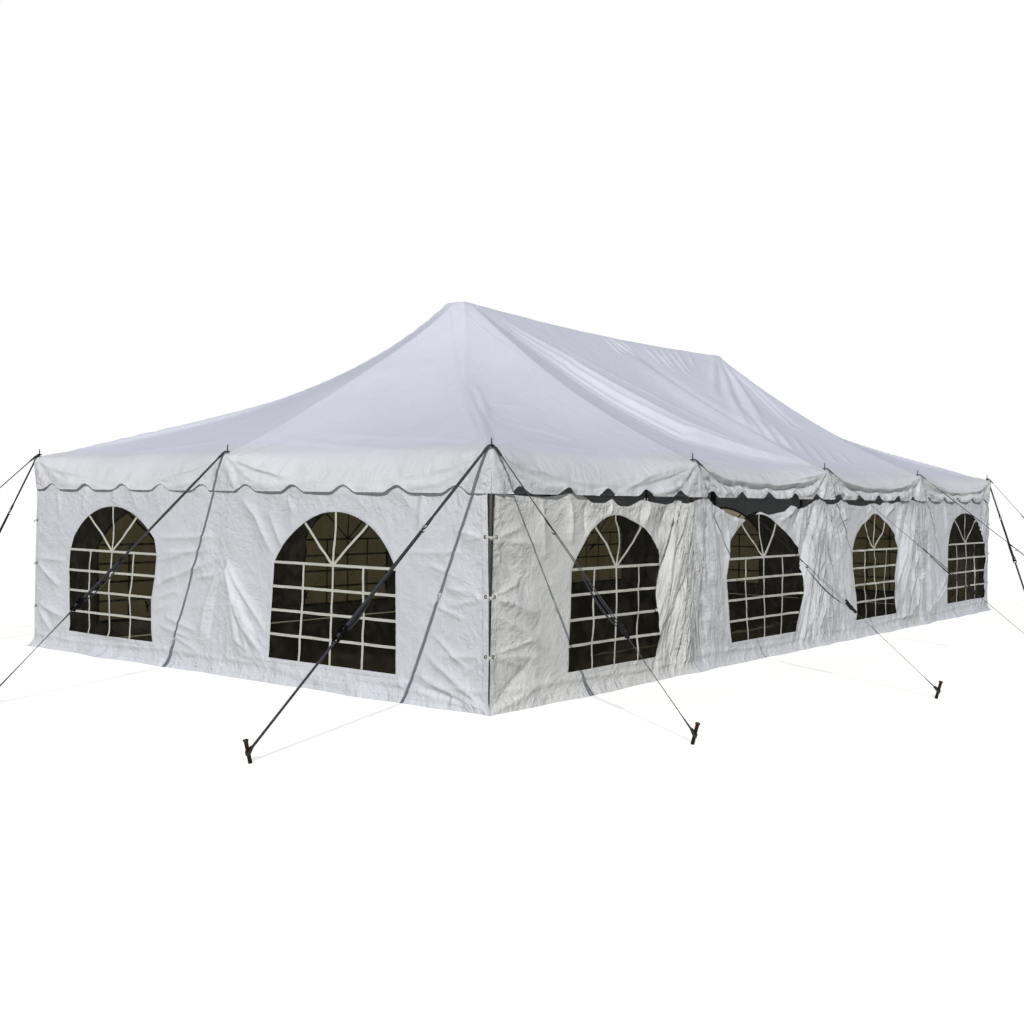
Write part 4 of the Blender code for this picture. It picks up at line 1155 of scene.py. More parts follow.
# The same for the whole left wall, with the distance measured from the near corner
LEFT_FOLDS = [
    (25, 40, 16, 3030, 1060, 2830, 810, 2570, 550, 2450, 400),
    (16, 30, 12, 3030, 1040, 2840, 620, 2700, 200), (16, 30, -11, 3020, 1020, 2800, 660, 2500, 300),
    (16, 30, 13, 3020, 1020, 2800, 580, 2570, 200), (14, 20, 10, 2940, 800, 2720, 460, 2500, 220),
    (14, 20, 9, 2920, 700, 2640, 300), (14, 20, 8, 2980, 620, 2860, 340, 2700, 240),
    (13, 20, 7, 4060, 740, 3720, 870), (13, 20, 7, 4060, 620, 3700, 720),
    (13, 20, 6, 4040, 980, 3600, 1070), (13, 20, 6, 4060, 500, 3820, 600),
    (14, 20, 8, 3980, 380, 3500, 290), (14, 20, 7, 3840, 330, 3360, 160),
    (13, 20, 7, 600, 1100, 320, 1020), (13, 20, 7, 580, 800, 250, 700), (13, 20, 8, 550, 560, 180, 300),
    (13, 20, 8, 40, 420, 300, 220), (13, 20, 8, 40, 870, 400, 780), (13, 20, 7, 40, 1320, 340, 1380),
    (20, 60, 14, 20, 20, 970, 136), (20, 60, 14, 20, 20, 780, 255), (20, 60, 13, 20, 30, 610, 396),
    (20, 50, -10, 50, 20, 880, 190), (40, 50, 12, 2380, 1093, 2620, 1445, 2820, 1600),
    (30, 40, 9, 2270, 1175, 2440, 1480), (30, 40, 9, 2120, 1455, 2210, 1600),
    (25, 60, 20, 3030, 1050, 2800, 200), (25, 60, 18, 3000, 980, 2530, 200),
    (25, 50, 14, 2970, 950, 2700, 500, 2450, 280), (20, 30, 7, 50, 1325, 250, 1301),
    (20, 30, 8, 70, 872, 420, 927), (30, 40, 10, 65, 424, 520, 390), (15, 20, 5, 910, 1179, 170, 1207),
    (30, 40, 10, 2840, 200, 2420, 190), (40, 50, 12, 2370, 102, 1090, 50),
    (20, 50, 18, 3060, 1040, 3290, 580, 3380, 250), (20, 40, -12, 3070, 1020, 3200, 600, 3240, 300),
    (20, 30, 8, 3980, 1202, 3110, 1243), (20, 30, 8, 3960, 1058, 3190, 1115),
    (30, 40, 11, 3930, 799, 3090, 1050), (20, 30, 9, 3450, 852, 3100, 897),
    (20, 30, 9, 6040, 932, 5510, 922), (30, 40, 12, 6040, 883, 5640, 648),
    (30, 40, 12, 6030, 466, 5550, 338), (30, 40, 14, 6030, 434, 5770, 180),
    (30, 40, 9, 5360, 227, 4090, 192), (30, 40, 9, 3900, 468, 3420, 360),
    (30, 40, 7, 5710, 1660, 5650, 1342), (30, 40, 10, 5190, 1680, 5260, 1396),
    (30, 40, 8, 4700, 1690, 4750, 1526), (30, 40, 8, 640, 1700, 700, 1350),
]


print(sum(len(f) for f in FRONT_FOLDS.values()) + len(LEFT_FOLDS), "folds in the walls")

# %% [markdown]
# A wall's own shape is the sum of its folds, a soft bulge beyond each window, the
# crease where the skirt starts, and narrow pleats by the poles, which are written as
# a noise stretched along the slant of the cloth. The measured folds are made higher and
# a little narrower here, until their shading agreed with the picture. The back repeats
# the front, and the right end the left.

# %% Relief of a wall
FOLD_GAINS, PLAIN_GAIN = {"front": 2.3, "left": 2.4}, 1.5
START_NARROWER, END_NARROWER = 0.85, 0.95
# How far each front panel stands out on the far side of its window
BULGES = (0.030, 0.020, 0.030, 0.01)
BACK_BULGE = 0.02


def wall_relief(side, bay, x, z):
    """Folds of one panel at places x along its bay and heights z."""
    if side in ("front", "back"):
        chosen_folds, place = FRONT_FOLDS[bay + 1], x
    else:
        chosen_folds = LEFT_FOLDS
        place = 2 * BAY - (bay * BAY + x) if side == "left" else bay * BAY + x
    share = FOLD_GAINS.get(side, PLAIN_GAIN)
    total = np.zeros(x.shape)
    for width, end_width, height, path in in_metres(chosen_folds):
        width, end_width = START_NARROWER * width, END_NARROWER * end_width
        total += fold(place, z, path, width, share * height, end_width, sharp=True)
    bulge = {"front": BULGES[bay], "back": BACK_BULGE}.get(side, 0.0)
    total += bulge * np.exp(-(((x - 2.15) / 0.38) ** 2)) * smooth_step(z, 0.05, 0.4)
    skirt_line = 0.012 * np.exp(-np.abs(z - 0.135 - 0.02 * np.sin(2.1 * place + bay)) / 0.02)
    return total + skirt_line + pleats(side, bay, x, z)


def pleat_lines(side, bay, x, z):
    """How pleated the cloth is at a place, and which pleat it lies in, for the long sides."""
    left_end = np.exp(-((x / 0.55) ** 2)) * (0.0 if bay == 0 else 1.0)
    right_end = np.exp(-(((BAY - x) / 0.75) ** 2))
    slanted = x + np.where(x < BAY / 2, 0.15, -0.32) * (z - 1.0)
    share = smooth_step(z, 0.0, 0.15) * np.maximum(left_end, right_end)
    return share * (0.0 if side in ("left", "right") else 1.0), slanted


PLEAT_DEPTH, FINE_PLEAT_DEPTH = 0.120, 0.026


def pleats(side, bay, x, z):
    """Narrow pleats beside the poles of the long sides; they slant with the long folds."""
    share, slanted = pleat_lines(side, bay, x, z)
    waves = ripple(np.stack([slanted, 0.0 * x + 5.0 * bay, 0.10 * z], axis=-1), 7.0, 3.0)
    fine = ripple(np.stack([slanted, 0.0 * x + 3.0 * bay, 0.16 * z], axis=-1), 21.0, 7.0)
    return share * (PLEAT_DEPTH * (0.24 - np.abs(waves)) + FINE_PLEAT_DEPTH * (0.2 - np.abs(fine)))


def corner_inset(z):
    """Half the gap left at a corner: closed at the foot, a narrow slit towards the top."""
    pitch = LACING_HEIGHTS[0] - LACING_HEIGHTS[1]
    laced = 0.003 * np.abs(np.sin(np.pi * (z - LACING_HEIGHTS[2]) / pitch))
    return -0.024 + 0.034 * (z / 1.65) ** 2 + laced - skirt_flare(z)


def skirt_flare(z):
    """How far the skirt stands out at a height above the ground."""
    return SKIRT_OUT * np.clip(1.0 - z / SKIRT_HEIGHT, 0.0, 1.0) ** 2


# Panels leave a hair's width between them, keep to a narrow room behind the valance, and
# stay clear of the poles
END_GAP, END_REACH = 0.0005, 0.07
TUCK_HEIGHTS, TUCK_ROOM = (1.56, 1.64), (0.024, 0.038)
POLE_REACH, POLE_CLEAR = (0.05, 0.14), 0.0245


def hang_wall(side, bay, u, v, off=0.0, folds=1.0):
    """Real place of points (u, v) of a cut panel: window moved, ends inset, folds added."""
    name = f"{side}_{bay + 1}"
    x = warped(name, u, v)
    start_inset = corner_inset(v) if bay == 0 else END_GAP
    end_inset = corner_inset(v) if bay == SIDES[side][2] - 1 else END_GAP
    x_held = start_inset + x * (BAY - start_inset - end_inset) / BAY
    from_end = np.minimum(x, BAY - x)
    ends = smooth_step(from_end, 0.0, END_REACH)
    start, along, outward = side_axes(side)
    plain = start + np.outer(bay * BAY + x_held, along)
    plain[:, 2] = v
    out = folds * wall_relief(side, bay, x, v)
    waves = 0.012 * ripple(plain, 1.1, 2.0)
    waves = waves + 0.006 * ripple(plain, 3.2, 4.0) + 0.0022 * ripple(plain, 9.0, 6.0)
    out += folds * waves
    out = WALL_OUT + out * ends + skirt_flare(v) * (1.0 + 0.7 * ripple(plain, 2.5, 11.0))
    tucked = smooth_step(v, *TUCK_HEIGHTS)
    out = out + tucked * (np.clip(out, *TUCK_ROOM) - out)
    near_pole = 1.0 - smooth_step(from_end, *POLE_REACH)
    out = out + near_pole * (np.maximum(out, POLE_CLEAR) - out)
    return plain + np.outer(out + off, outward)


print("a corner's slit is", round(2 * float(corner_inset(1.65)), 3), "m wide at the top")

# %% [markdown]
# A panel is cut flat: a grid of points with the window's outline and the top edge put in
# as lines that no triangle may cross. So the opening has a true clean edge. The same
# cutting makes the film, which laps 30 mm behind the cloth all round. The two walls
# that are seen from near get a finer grid than the others.

# %% Cutting a panel and its window
STEP, FINE_STEP = 0.024, 0.0145


def arch_outline(made, grow=0.0):
    """The window's outline, sill first, with its arch as points on a circle."""
    half, radius = HALF_WINDOW + grow, ARCH_RADIUS + grow
    turn = math.asin(half / radius)
    spring = ARCH_CENTRE_Z + math.sqrt(radius**2 - half**2)
    arc = [
        (made + radius * math.sin(a), ARCH_CENTRE_Z + radius * math.cos(a))
        for a in np.linspace(turn, -turn, 62)
    ]
    rise = np.arange(SILL_Z - grow + STEP, spring - STEP / 2, STEP)
    sill = [(made + x, SILL_Z - grow) for x in np.linspace(-half, half, 56)]
    return sill + [(made + half, z) for z in rise] + arc + [(made - half, z) for z in rise[::-1]]


def window_gap(made, u, v):
    """Signed distance from the window's outline, above 0 outside it."""
    across = np.abs(u - made) - HALF_WINDOW
    straight_gap = np.maximum(across, SILL_Z - v)
    round_gap = np.maximum(np.hypot(u - made, v - ARCH_CENTRE_Z) - ARCH_RADIUS, SILL_Z - v)
    return np.where(v < SPRING_Z, straight_gap, round_gap)


def cut(outlines, points, keep):
    """Triangles between outlines and points, kept where keep(u, v) of their middle is true."""
    flat, edges = [Vector(p) for p in points], []
    for outline in outlines:
        first = len(flat)
        flat += [Vector(p) for p in outline]
        edges += [(first + n, first + (n + 1) % len(outline)) for n in range(len(outline))]
    found = delaunay_2d_cdt(flat, edges, [], 0, 1e-6)
    corners = np.array([tuple(p) for p in found[0]])
    triangles = np.array([tuple(t) for t in found[2]])
    middle = corners[triangles].mean(axis=1)
    triangles = triangles[keep(middle[:, 0], middle[:, 1])]
    used = np.unique(triangles)
    renumber = np.zeros(len(corners), int)
    renumber[used] = np.arange(len(used))
    return corners[used], renumber[triangles].tolist()


def inner_points(u_range, v_range, step):
    """Points of a grid, every second row shifted by half a step."""
    u, v = np.meshgrid(np.arange(*u_range, step), np.arange(*v_range, step))
    u[1::2] += step / 2
    return u.ravel(), v.ravel()


def wall_crush(side, u, v):
    """Crinkling of a wall: more by the poles, under the eave and along the foot."""
    near = np.exp(-((np.minimum(u, BAY - u) / 0.5) ** 2))
    low = np.exp(-((v / 0.22) ** 2))
    high = smooth_step(v, 1.25, 1.60)
    base = 0.50 if side == "front" else 0.28
    return np.clip(np.maximum.reduce([base * near, 0.5 * low, base * high]), 0.0, 1.0)


print("grid of", STEP, "m, and", FINE_STEP, "m for the near walls")

# %% [markdown]
# Now the twelve panels. A panel's outline is its foot, its two ends and the sagging
# top edge. The UV map keeps the flat cut, shifted a little from panel to panel, so that
# no two show the same pattern.

# %% Wall panels
BAY_SHIFT, SIDE_SHIFT = 3.3, 0.7
WINDOW_AREA, HEM = 1.72, 0.022
# How much of the painted neutral tint the nearest panels take: painted ground light in place of the bluish
# sky light
PAINTED_GROUND_LIGHT = {"front_1": 1.0, "front_2": 0.4, "front_3": 0.3}
walls = []
for side, (_, _, bays) in SIDES.items():
    for bay in range(bays):
        name = f"{side}_{bay + 1}"
        made = window_hang(name, np.zeros(1))[0]
        top_u, top_v = top_line(name)
        step = FINE_STEP if side in ("front", "left") else STEP
        rise_left = [(0.0, z) for z in np.arange(top_v[0] - step, step / 2, -step)]
        rise_right = [(BAY, z) for z in np.arange(step, top_v[-1] - step / 2, step)]
        outline = [(u, 0.0) for u in top_u] + rise_right + list(zip(top_u[::-1], top_v[::-1])) + rise_left
        u, v = inner_points((step, BAY - step / 2), (step, 1.82), step)
        free = (window_gap(made, u, v) > 0.4 * step) & (v < np.interp(u, top_u, top_v) - 0.4 * step)
        free &= u < BAY - 0.4 * step
        flat_points, triangles = cut(
            [outline, arch_outline(made)], list(zip(u[free], v[free])),
            lambda a, b: (b < np.interp(a, top_u, top_v)) & (window_gap(made, a, b) > 0.0),
        )
        u, v = flat_points[:, 0], flat_points[:, 1]
        border = np.abs(window_gap(made, u, v) - HEM)
        under_top = np.interp(u, top_u, top_v) - v
        hems = [np.abs(u - 0.045), np.abs(BAY - u - 0.045), np.abs(v - 0.055), np.abs(under_top - 0.03)]
        pleated, flow = pleat_lines(side, bay, u, v)
        marks = {
            "pleated": pleated,
            "flow": flow + BAY_SHIFT * bay,
            "seam_gap": np.minimum.reduce([border] + hems),
            "crush": wall_crush(side, u, v),
            # Painted light: the nearest panels take the neutral tint of ground light
            "eave": np.full(len(u), PAINTED_GROUND_LIGHT.get(name, 0.0)),
        }
        panel = add_sheet(
            "wall_cloth_" + name, hang_wall(side, bay, u, v), triangles,
            flat_points + (bay * BAY_SHIFT, SIDE_SHIFT * list(SIDES).index(side)), marks, [wall_cloth],
        )
        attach(panel, "root")
        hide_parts("wall_" + name)
        walls.append(panel)
print(len(walls), "wall panels with", sum(len(w.data.polygons) for w in walls), "triangles")

# %% [markdown]
# Behind each opening lies its film, and on the film the bars: four across, three up and
# three spokes that fan out to the arch. They are tape, so they follow every ripple of
# the film. The film lies just inside the cloth and the tape just outside the film.

# %% Shape of films and bars
BAR_WIDTH, BAR_STEP = 0.023, 0.022
BAR_HEIGHTS = (SPRING_Z, 0.835, 0.630, 0.420)
SPOKE = (0.39, 0.345)
FILM_LAP, FILM_OFF, BAR_OFF = 0.03, -0.004, -0.0022
CRUMPLED, CRUMPLE, PLAIN_CRUMPLE = ("front", 2), 0.034, 0.015


def film_place(side, bay, made, u, v, off):
    """The film follows the cloth at its rim and hangs in its own ripples further in."""
    inward = smooth_step(-window_gap(made, u, v), 0.0, 0.25)
    place = hang_wall(side, bay, u, v, off=off, folds=0.55)
    rim = hang_wall(side, bay, u, v, off=off)
    place = rim + (place - rim) * inward[:, None]
    crumple = CRUMPLE if (side, bay) == CRUMPLED else PLAIN_CRUMPLE
    waves = crumple * ripple(place, 3.4, 21.0) + 0.4 * crumple * ripple(place, 9.0, 25.0)
    return place + np.outer(waves * inward, side_axes(side)[2])


def bar_lines(made):
    """Centre lines of the bars on the cut film."""
    low, high = made - HALF_WINDOW, made + HALF_WINDOW
    lines = [[(low, z), (high, z)] for z in BAR_HEIGHTS]
    for u in (made - HALF_WINDOW / 2, made, made + HALF_WINDOW / 2):
        lines.append([(u, SILL_Z), (u, SPRING_Z)])
    lines.append([(made, SPRING_Z), (made, ARCH_CENTRE_Z + ARCH_RADIUS)])
    lines += [[(made, SPRING_Z), (made + way * SPOKE[0], SPRING_Z + SPOKE[1])] for way in (-1, 1)]
    return lines


def bar_strip(low, high):
    """One bar as a strip two faces wide: its flat points, three to a row, and its faces."""
    low, high = np.array(low), np.array(high)
    length = np.linalg.norm(high - low)
    step = (high - low) / length
    across = np.array([-step[1], step[0]]) * BAR_WIDTH / 2
    count = int(length / BAR_STEP)
    centre = low + np.outer(np.linspace(0.0, 1.0, count + 1), high - low)
    strip = np.stack([centre - across, centre, centre + across], axis=1).reshape(-1, 2)
    corners = [3 * n + k for n in range(count) for k in (0, 1)]
    return strip, [[a, a + 3, a + 4, a + 1] for a in corners]


print(len(bar_lines(0.0)), "bars on each window")

# %% Films and their bars
films = []
for side, (_, _, bays) in SIDES.items():
    points, faces, flats = [], [], []
    bar_points, bar_faces, bar_flats = [], [], []
    for bay in range(bays):
        made = window_hang(f"{side}_{bay + 1}", np.zeros(1))[0]
        u, v = inner_points((made - 0.8, made + 0.8), (SILL_Z - FILM_LAP, 1.54), STEP)
        free = window_gap(made, u, v) < FILM_LAP - 0.4 * STEP
        flat_points, triangles = cut(
            [arch_outline(made, FILM_LAP)], list(zip(u[free], v[free])),
            lambda a, b: window_gap(made, a, b) < FILM_LAP,
        )
        first = sum(len(p) for p in points)
        points.append(film_place(side, bay, made, flat_points[:, 0], flat_points[:, 1], FILM_OFF))
        flats.append(flat_points + (bay * BAY_SHIFT, 0.0))
        faces += [[first + n for n in t] for t in triangles]
        for low, high in bar_lines(made):
            strip, strip_faces = bar_strip(low, high)
            first = sum(len(p) for p in bar_points)
            bar_points.append(film_place(side, bay, made, strip[:, 0], strip[:, 1], BAR_OFF))
            bar_flats.append(strip)
            bar_faces += [[first + n for n in face] for face in strip_faces]
    shift = sum(len(p) for p in points)
    bar_faces = [[shift + n for n in face] for face in bar_faces]
    everything = np.concatenate(points + bar_points)
    film = add_sheet(
        "window_film_and_bars_" + side, everything, faces + bar_faces, np.concatenate(flats + bar_flats),
        {"seam_gap": np.ones(len(everything))}, [clear_film, bar_tape], second_from=len(faces),
    )
    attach(film, "root")
    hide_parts("window_film_" + side)
    films.append(film)
print(len(films), "films with", sum(len(f.data.polygons) for f in films), "faces")

# %% [markdown]
# The hardware has its own small set of makers. Each adds one shape to an open bmesh with
# the number of its finish: a tube swept along a path, a flat ribbon of webbing, a
# profile turned round an axis, and a block with softened edges.

# %% Makers for hardware
def close_rings(shape, rings, finish, smooth=True):
    """Joins rings of vertices into a skin, with a cap at each end."""
    made = []
    for low, high in zip(rings, rings[1:]):
        for n in range(len(low)):
            m = (n + 1) % len(low)
            made.append(shape.faces.new((low[n], low[m], high[m], high[n])))
    made += [shape.faces.new(rings[0][::-1]), shape.faces.new(rings[-1])]
    for face in made:
        face.material_index = finish
        face.smooth = smooth and len(face.verts) == 4
    return made


def circle(sides):
    """Angles round a circle."""
    return [2 * math.pi * k / sides for k in range(sides)]


def tube(shape, path, radius, finish, sides=12):
    """A round bar or cord along a path; radius is one number or one for each point."""
    path = [Vector(p) for p in path]
    radii = radius if hasattr(radius, "__len__") else [radius] * len(path)
    rings, side_way = [], None
    for n, point in enumerate(path):
        way = (path[min(n + 1, len(path) - 1)] - path[max(n - 1, 0)]).normalized()
        if side_way is None:
            side_way = way.orthogonal().normalized()
        side_way = (side_way - way * side_way.dot(way)).normalized()
        other = way.cross(side_way)
        spokes = [side_way * math.cos(t) + other * math.sin(t) for t in circle(sides)]
        rings.append([shape.verts.new(point + spoke * radii[n]) for spoke in spokes])
    close_rings(shape, rings, finish)


def turned_profile(shape, profile, place, finish, sides=32):
    """A profile of (radius, height) pairs turned about the Z axis of place."""
    rings = []
    for radius, height in profile:
        places = [Vector((radius * math.cos(t), radius * math.sin(t), height)) for t in circle(sides)]
        rings.append([shape.verts.new(place @ p) for p in places])
    close_rings(shape, rings, finish)


def block(shape, place, size, finish, bevel=0.0015):
    """A box with bevelled edges; place is a matrix at its middle."""
    made = bmesh.ops.create_cube(shape, size=1.0, matrix=place @ Matrix.Diagonal((*size, 1.0)))
    edges = list({e for v in made["verts"] for e in v.link_edges})
    before = set(shape.faces) - {f for v in made["verts"] for f in v.link_faces}
    bmesh.ops.bevel(shape, geom=edges, offset=bevel, segments=2, affect="EDGES", profile=0.6)
    for face in shape.faces:
        if face not in before:
            face.material_index = finish


def ribbon(shape, path, across, width, thickness, finish, layer, twist=0.0, turn_to=0.0):
    """Webbing along a path, flat across the given direction, with its ribs in the UV map.

    twist turns it back and forth about its middle, turn_to turns it for good from its start on.
    """
    path = [Vector(p) for p in path]
    walked, rings, runs = 0.0, [], []
    for n, point in enumerate(path):
        way = (path[min(n + 1, len(path) - 1)] - path[max(n - 1, 0)]).normalized()
        flat_way = (across - way * across.dot(way)).normalized()
        if twist or turn_to:
            part = n / (len(path) - 1)
            spin = twist * math.sin(math.pi * part) + turn_to * float(smooth_step(part, 0.0, 0.2))
            flat_way = Matrix.Rotation(spin, 3, way) @ flat_way
        normal = way.cross(flat_way)
        walked += (point - path[n - 1]).length if n else 0.0
        runs.append(walked)
        half, thick, soft = flat_way * width / 2, normal * thickness / 2, 0.86
        corners = [half * soft + thick, half + thick * 0.2, half * soft - thick]
        corners += [-half * soft - thick, -half - thick * 0.2, -half * soft + thick]
        rings.append([shape.verts.new(point + c) for c in corners])
    places = {}
    for ring, run in zip(rings, runs):
        for number, vertex in enumerate(ring):
            places[vertex] = (width * number / 6, run)
    for face in close_rings(shape, rings, finish, smooth=False):
        for loop in face.loops:
            loop[layer].uv = places[loop.vert]


def add_hardware(name, shape, materials):
    """One riding object from a finished bmesh."""
    mesh = bpy.data.meshes.new(name)
    bmesh.ops.recalc_face_normals(shape, faces=shape.faces)
    shape.to_mesh(mesh)
    shape.free()
    for material in materials:
        mesh.materials.append(material)
    piece = bpy.data.objects.new(name, mesh)
    bpy.context.scene.collection.objects.link(piece)
    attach(piece, "root")
    return piece


def between(start, end, steps, sag=0.0):
    """Points along a straight or slightly sagging line."""
    start, end = Vector(start), Vector(end)
    drop = Vector((0.0, 0.0, -sag))
    return [start.lerp(end, n / steps) + drop * math.sin(math.pi * n / steps) for n in range(steps + 1)]


def offsets_from(origin, down, across, normal):
    """A function that places a point by its offsets in a fitting's own three directions."""
    return lambda d, a, n=0.0: origin + down * d + across * a + normal * n


print("hardware makers ready")

# %% [markdown]
# Side poles are 42 mm steel tube with a swaged top that carries a spike. The spike goes up
# through an eyelet in the roof's edge and takes the rings of the guys. The two centre poles
# are thicker, in two lengths that meet in a sleeve with a locking pin, and have
# a smooth domed head, so that the peak isn't torn. They lean a little, as in the picture.

# %% Side poles
for name, foot, _ in pole_places():
    shape = bmesh.new()
    place = Matrix.Translation(foot)
    # Profiles are (radius, height) points that are turned round the pole's axis
    tube_profile = [
        (0.0, 0.0), (0.0195, 0.0), (0.021, 0.0015), (0.021, 1.885), (0.0205, 1.893), (0.0165, 1.925),
        (0.0155, 1.940), (0.0155, 1.962), (0.0145, 1.966), (0.0, 1.966),
    ]
    spike_profile = [
        (0.0, 1.960), (SPIKE_RADIUS, 1.960), (SPIKE_RADIUS, SPIKE_TOP_Z - 0.012),
        (SPIKE_RADIUS * 0.8, SPIKE_TOP_Z - 0.004), (SPIKE_RADIUS * 0.35, SPIKE_TOP_Z), (0.0, SPIKE_TOP_Z),
    ]
    turned_profile(shape, tube_profile, place, 0)
    turned_profile(shape, spike_profile, place, 0, sides=16)
    collar = [(0.0085, 1.968), (0.0125, 1.966), (0.0125, 1.972), (0.0085, 1.974)]
    turned_profile(shape, collar, place, 0, sides=20)
    pole = add_hardware("side_pole_tube_" + name, shape, [galvanised])
    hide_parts("side_pole_" + name)
print("side poles:", len(pole_places()))

# %% Centre poles
for name, x, lean, flat_top in zip(("left", "right"), (-BAY, BAY), LEANS, PEAK_FLATS):
    shape = bmesh.new()
    place = Matrix.Translation((x, 0.0, 0.0))
    place[0][2] = 0.98 * lean / PEAK_Z
    lower = [(0.0, 0.0), (0.045, 0.0), (0.045, 0.006), (0.038, 0.010), (0.038, 1.76), (0.0, 1.76)]
    sleeve = [(0.0385, 1.650), (0.042, 1.653), (0.042, 1.947), (0.0385, 1.950)]
    top_z, wide = PEAK_Z - 0.012, flat_top - 0.010
    upper = [(0.0, 1.76), (0.0375, 1.76), (0.0375, top_z - 0.066), (0.0, top_z - 0.066)]
    head = [
        (0.0, top_z - 0.068), (wide * 0.6, top_z - 0.068), (wide * 0.97, top_z - 0.062),
        (wide, top_z - 0.054), (wide * 0.98, top_z - 0.046), (wide * 0.78, top_z - 0.030),
        (wide * 0.45, top_z - 0.012), (wide * 0.2, top_z - 0.003), (0.0, top_z),
    ]
    for profile in (lower, sleeve, upper, head):
        turned_profile(shape, profile, place, 0)
    for z in (1.72, 1.88):
        at = x + place[0][2] * z
        tube(shape, [(at, -0.052, z), (at, 0.052, z)], 0.005, 0, sides=10)
        for way in (-1, 1):
            tube(shape, [(at, way * 0.052, z), (at, way * 0.058, z)], 0.009, 0, sides=6)
    pole = add_hardware("centre_pole_tube_" + name, shape, [galvanised])
    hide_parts("centre_pole_" + name)
    print("centre pole", name, "leans", lean, "m at its top")

# %% [markdown]
# A guy starts as a sewn loop on a steel ring, runs down as one strap to a flat hook,
# goes on as a doubled loop of webbing to the ratchet that tightens it, and ends in a loop
# round the stake. The strap is pulled tight, so it is straight; only the slack tails of
# the ratchets hang and curl. On the long sides the straps turn on edge below their rings,
# as in the picture. Stakes lean away from the pull, with heads mushroomed by the hammer.

# %% Sizes of the guys
STRAP_WIDTH, STRAP_THICKNESS, RING_RADIUS = 0.028, 0.003, 0.0185
RING_Z, SECOND_RING_UP, STRAP_START, STRAP_END_Z = 2.012, 0.0073, 0.028, 0.07
STAKE_RADIUS, STAKE_HEIGHT, STAKE_LEAN = 0.0127, 0.15, 0.27
CORNER_OUTS, SIDE_OUTS, END_OUT = (2.29, 1.74), (2.33, 2.47, 2.56), 2.22
HOOK_AT, SIDE_HOOK_AT, RATCHET_AT = 0.31, 0.48, 0.67
STRAP_TURN = math.radians(-20)
WEB, STEEL, STAKE = 0, 1, 2


def guy_out(name, outward):
    """How far out from its pole a guy's stake stands."""
    if name.endswith("corner"):
        return CORNER_OUTS[0] if abs(outward[0]) > 0.5 else CORNER_OUTS[1]
    side, number = name.split("_")
    if side in ("left", "right"):
        return END_OUT
    return SIDE_OUTS[int(number) - 1 if side == "front" else 3 - int(number)]


def axes_of(down, across, normal):
    """A fitting's own directions as the turn of its blocks."""
    return Matrix((down, across, normal)).transposed().to_4x4()


print("stakes stand", min(SIDE_OUTS + CORNER_OUTS), "to", max(SIDE_OUTS + CORNER_OUTS), "m out")

# %% Hook and ratchet
def add_hook(shape, hook, down, across, normal, layer):
    """Slotted plate with the sewn eye above it and a J of round bar that holds the lower loop."""
    turned = axes_of(down, across, normal)
    at = offsets_from(hook, down, across, normal)
    for way in (-1, 1):
        block(shape, Matrix.Translation(at(0.0, way * 0.0165)) @ turned, (0.046, 0.005, 0.005), STEEL)
    for shift in (-0.021, 0.004, 0.021):
        block(shape, Matrix.Translation(at(shift, 0.0)) @ turned, (0.006, 0.034, 0.006), STEEL)
    for way in (-0.008, 0.008):
        j = [at(0.018, way)]
        j += [at(0.030 + 0.008 * k, way, 0.006 * math.sin(k * 1.1)) for k in range(3)]
        j += [at(0.050, way, -0.012), at(0.034, way, -0.016)]
        tube(shape, j, 0.0032, STEEL, sides=8)
    eye = [at(-0.10, 0.0, 0.0028), at(-0.03, 0.0, 0.004), at(-0.018, 0.0, 0.001)]
    eye += [at(-0.018, 0.0, -0.004), at(-0.03, 0.0, -0.005), at(-0.09, 0.0, -0.0028)]
    ribbon(shape, eye, across, STRAP_WIDTH, STRAP_THICKNESS, WEB, layer)


def add_ratchet(shape, middle, down, across, normal, layer):
    """Side plates, toothed wheels, spool wound with webbing, handle and cross bolts."""
    turned = axes_of(down, across, normal)
    at = offsets_from(middle, down, across, normal)
    for way in (-1, 1):
        plate = Matrix.Translation(at(0.0, way * 0.0215)) @ turned
        block(shape, plate, (0.118, 0.003, 0.024), STEEL)
        lifted = Matrix.Translation(at(-0.028, way * 0.0175, 0.010)) @ turned
        lifted = lifted @ Matrix.Rotation(math.radians(9), 4, "Y")
        block(shape, lifted, (0.098, 0.0028, 0.018), STEEL)
        tube(shape, [at(0.0, way * 0.0225), at(0.0, way * 0.026)], 0.019, STEEL, sides=14)
        tube(shape, [at(0.0, way * 0.026), at(0.0, way * 0.032)], 0.007, STEEL, sides=6)
    tube(shape, [at(0.0, -0.024), at(0.0, 0.024)], 0.0085, STEEL, sides=14)
    for shift in (-0.052, 0.052):
        tube(shape, [at(shift, -0.024), at(shift, 0.024)], 0.0045, STEEL, sides=10)
        tube(shape, [at(shift, 0.022), at(shift, 0.027)], 0.008, STEEL, sides=6)
    tube(shape, [at(-0.074, -0.020, 0.017), at(-0.074, 0.020, 0.017)], 0.007, STEEL, sides=12)
    coil = []
    for t in [0.35 * k for k in range(46)]:
        radius = 0.0095 + 0.0004 * t
        coil.append(at(radius * math.cos(t), 0.0, radius * math.sin(t)))
    ribbon(shape, coil, across, STRAP_WIDTH, 0.0018, WEB, layer)


print("hook and ratchet ready")

# %% [markdown]
# The ends of a guy: the ring on the spike with the sewn loop round it, the slack tail
# of the ratchet, and the stake with the loop that is hooked over it.

# %% Ring, tail and stake
LOOP_THICKNESS, STRAND_THICKNESS, TAIL_THICKNESS = 0.0026, 0.0024, 0.0020
RING_BAR, STRAND_SPREAD = 0.0034, 0.0075


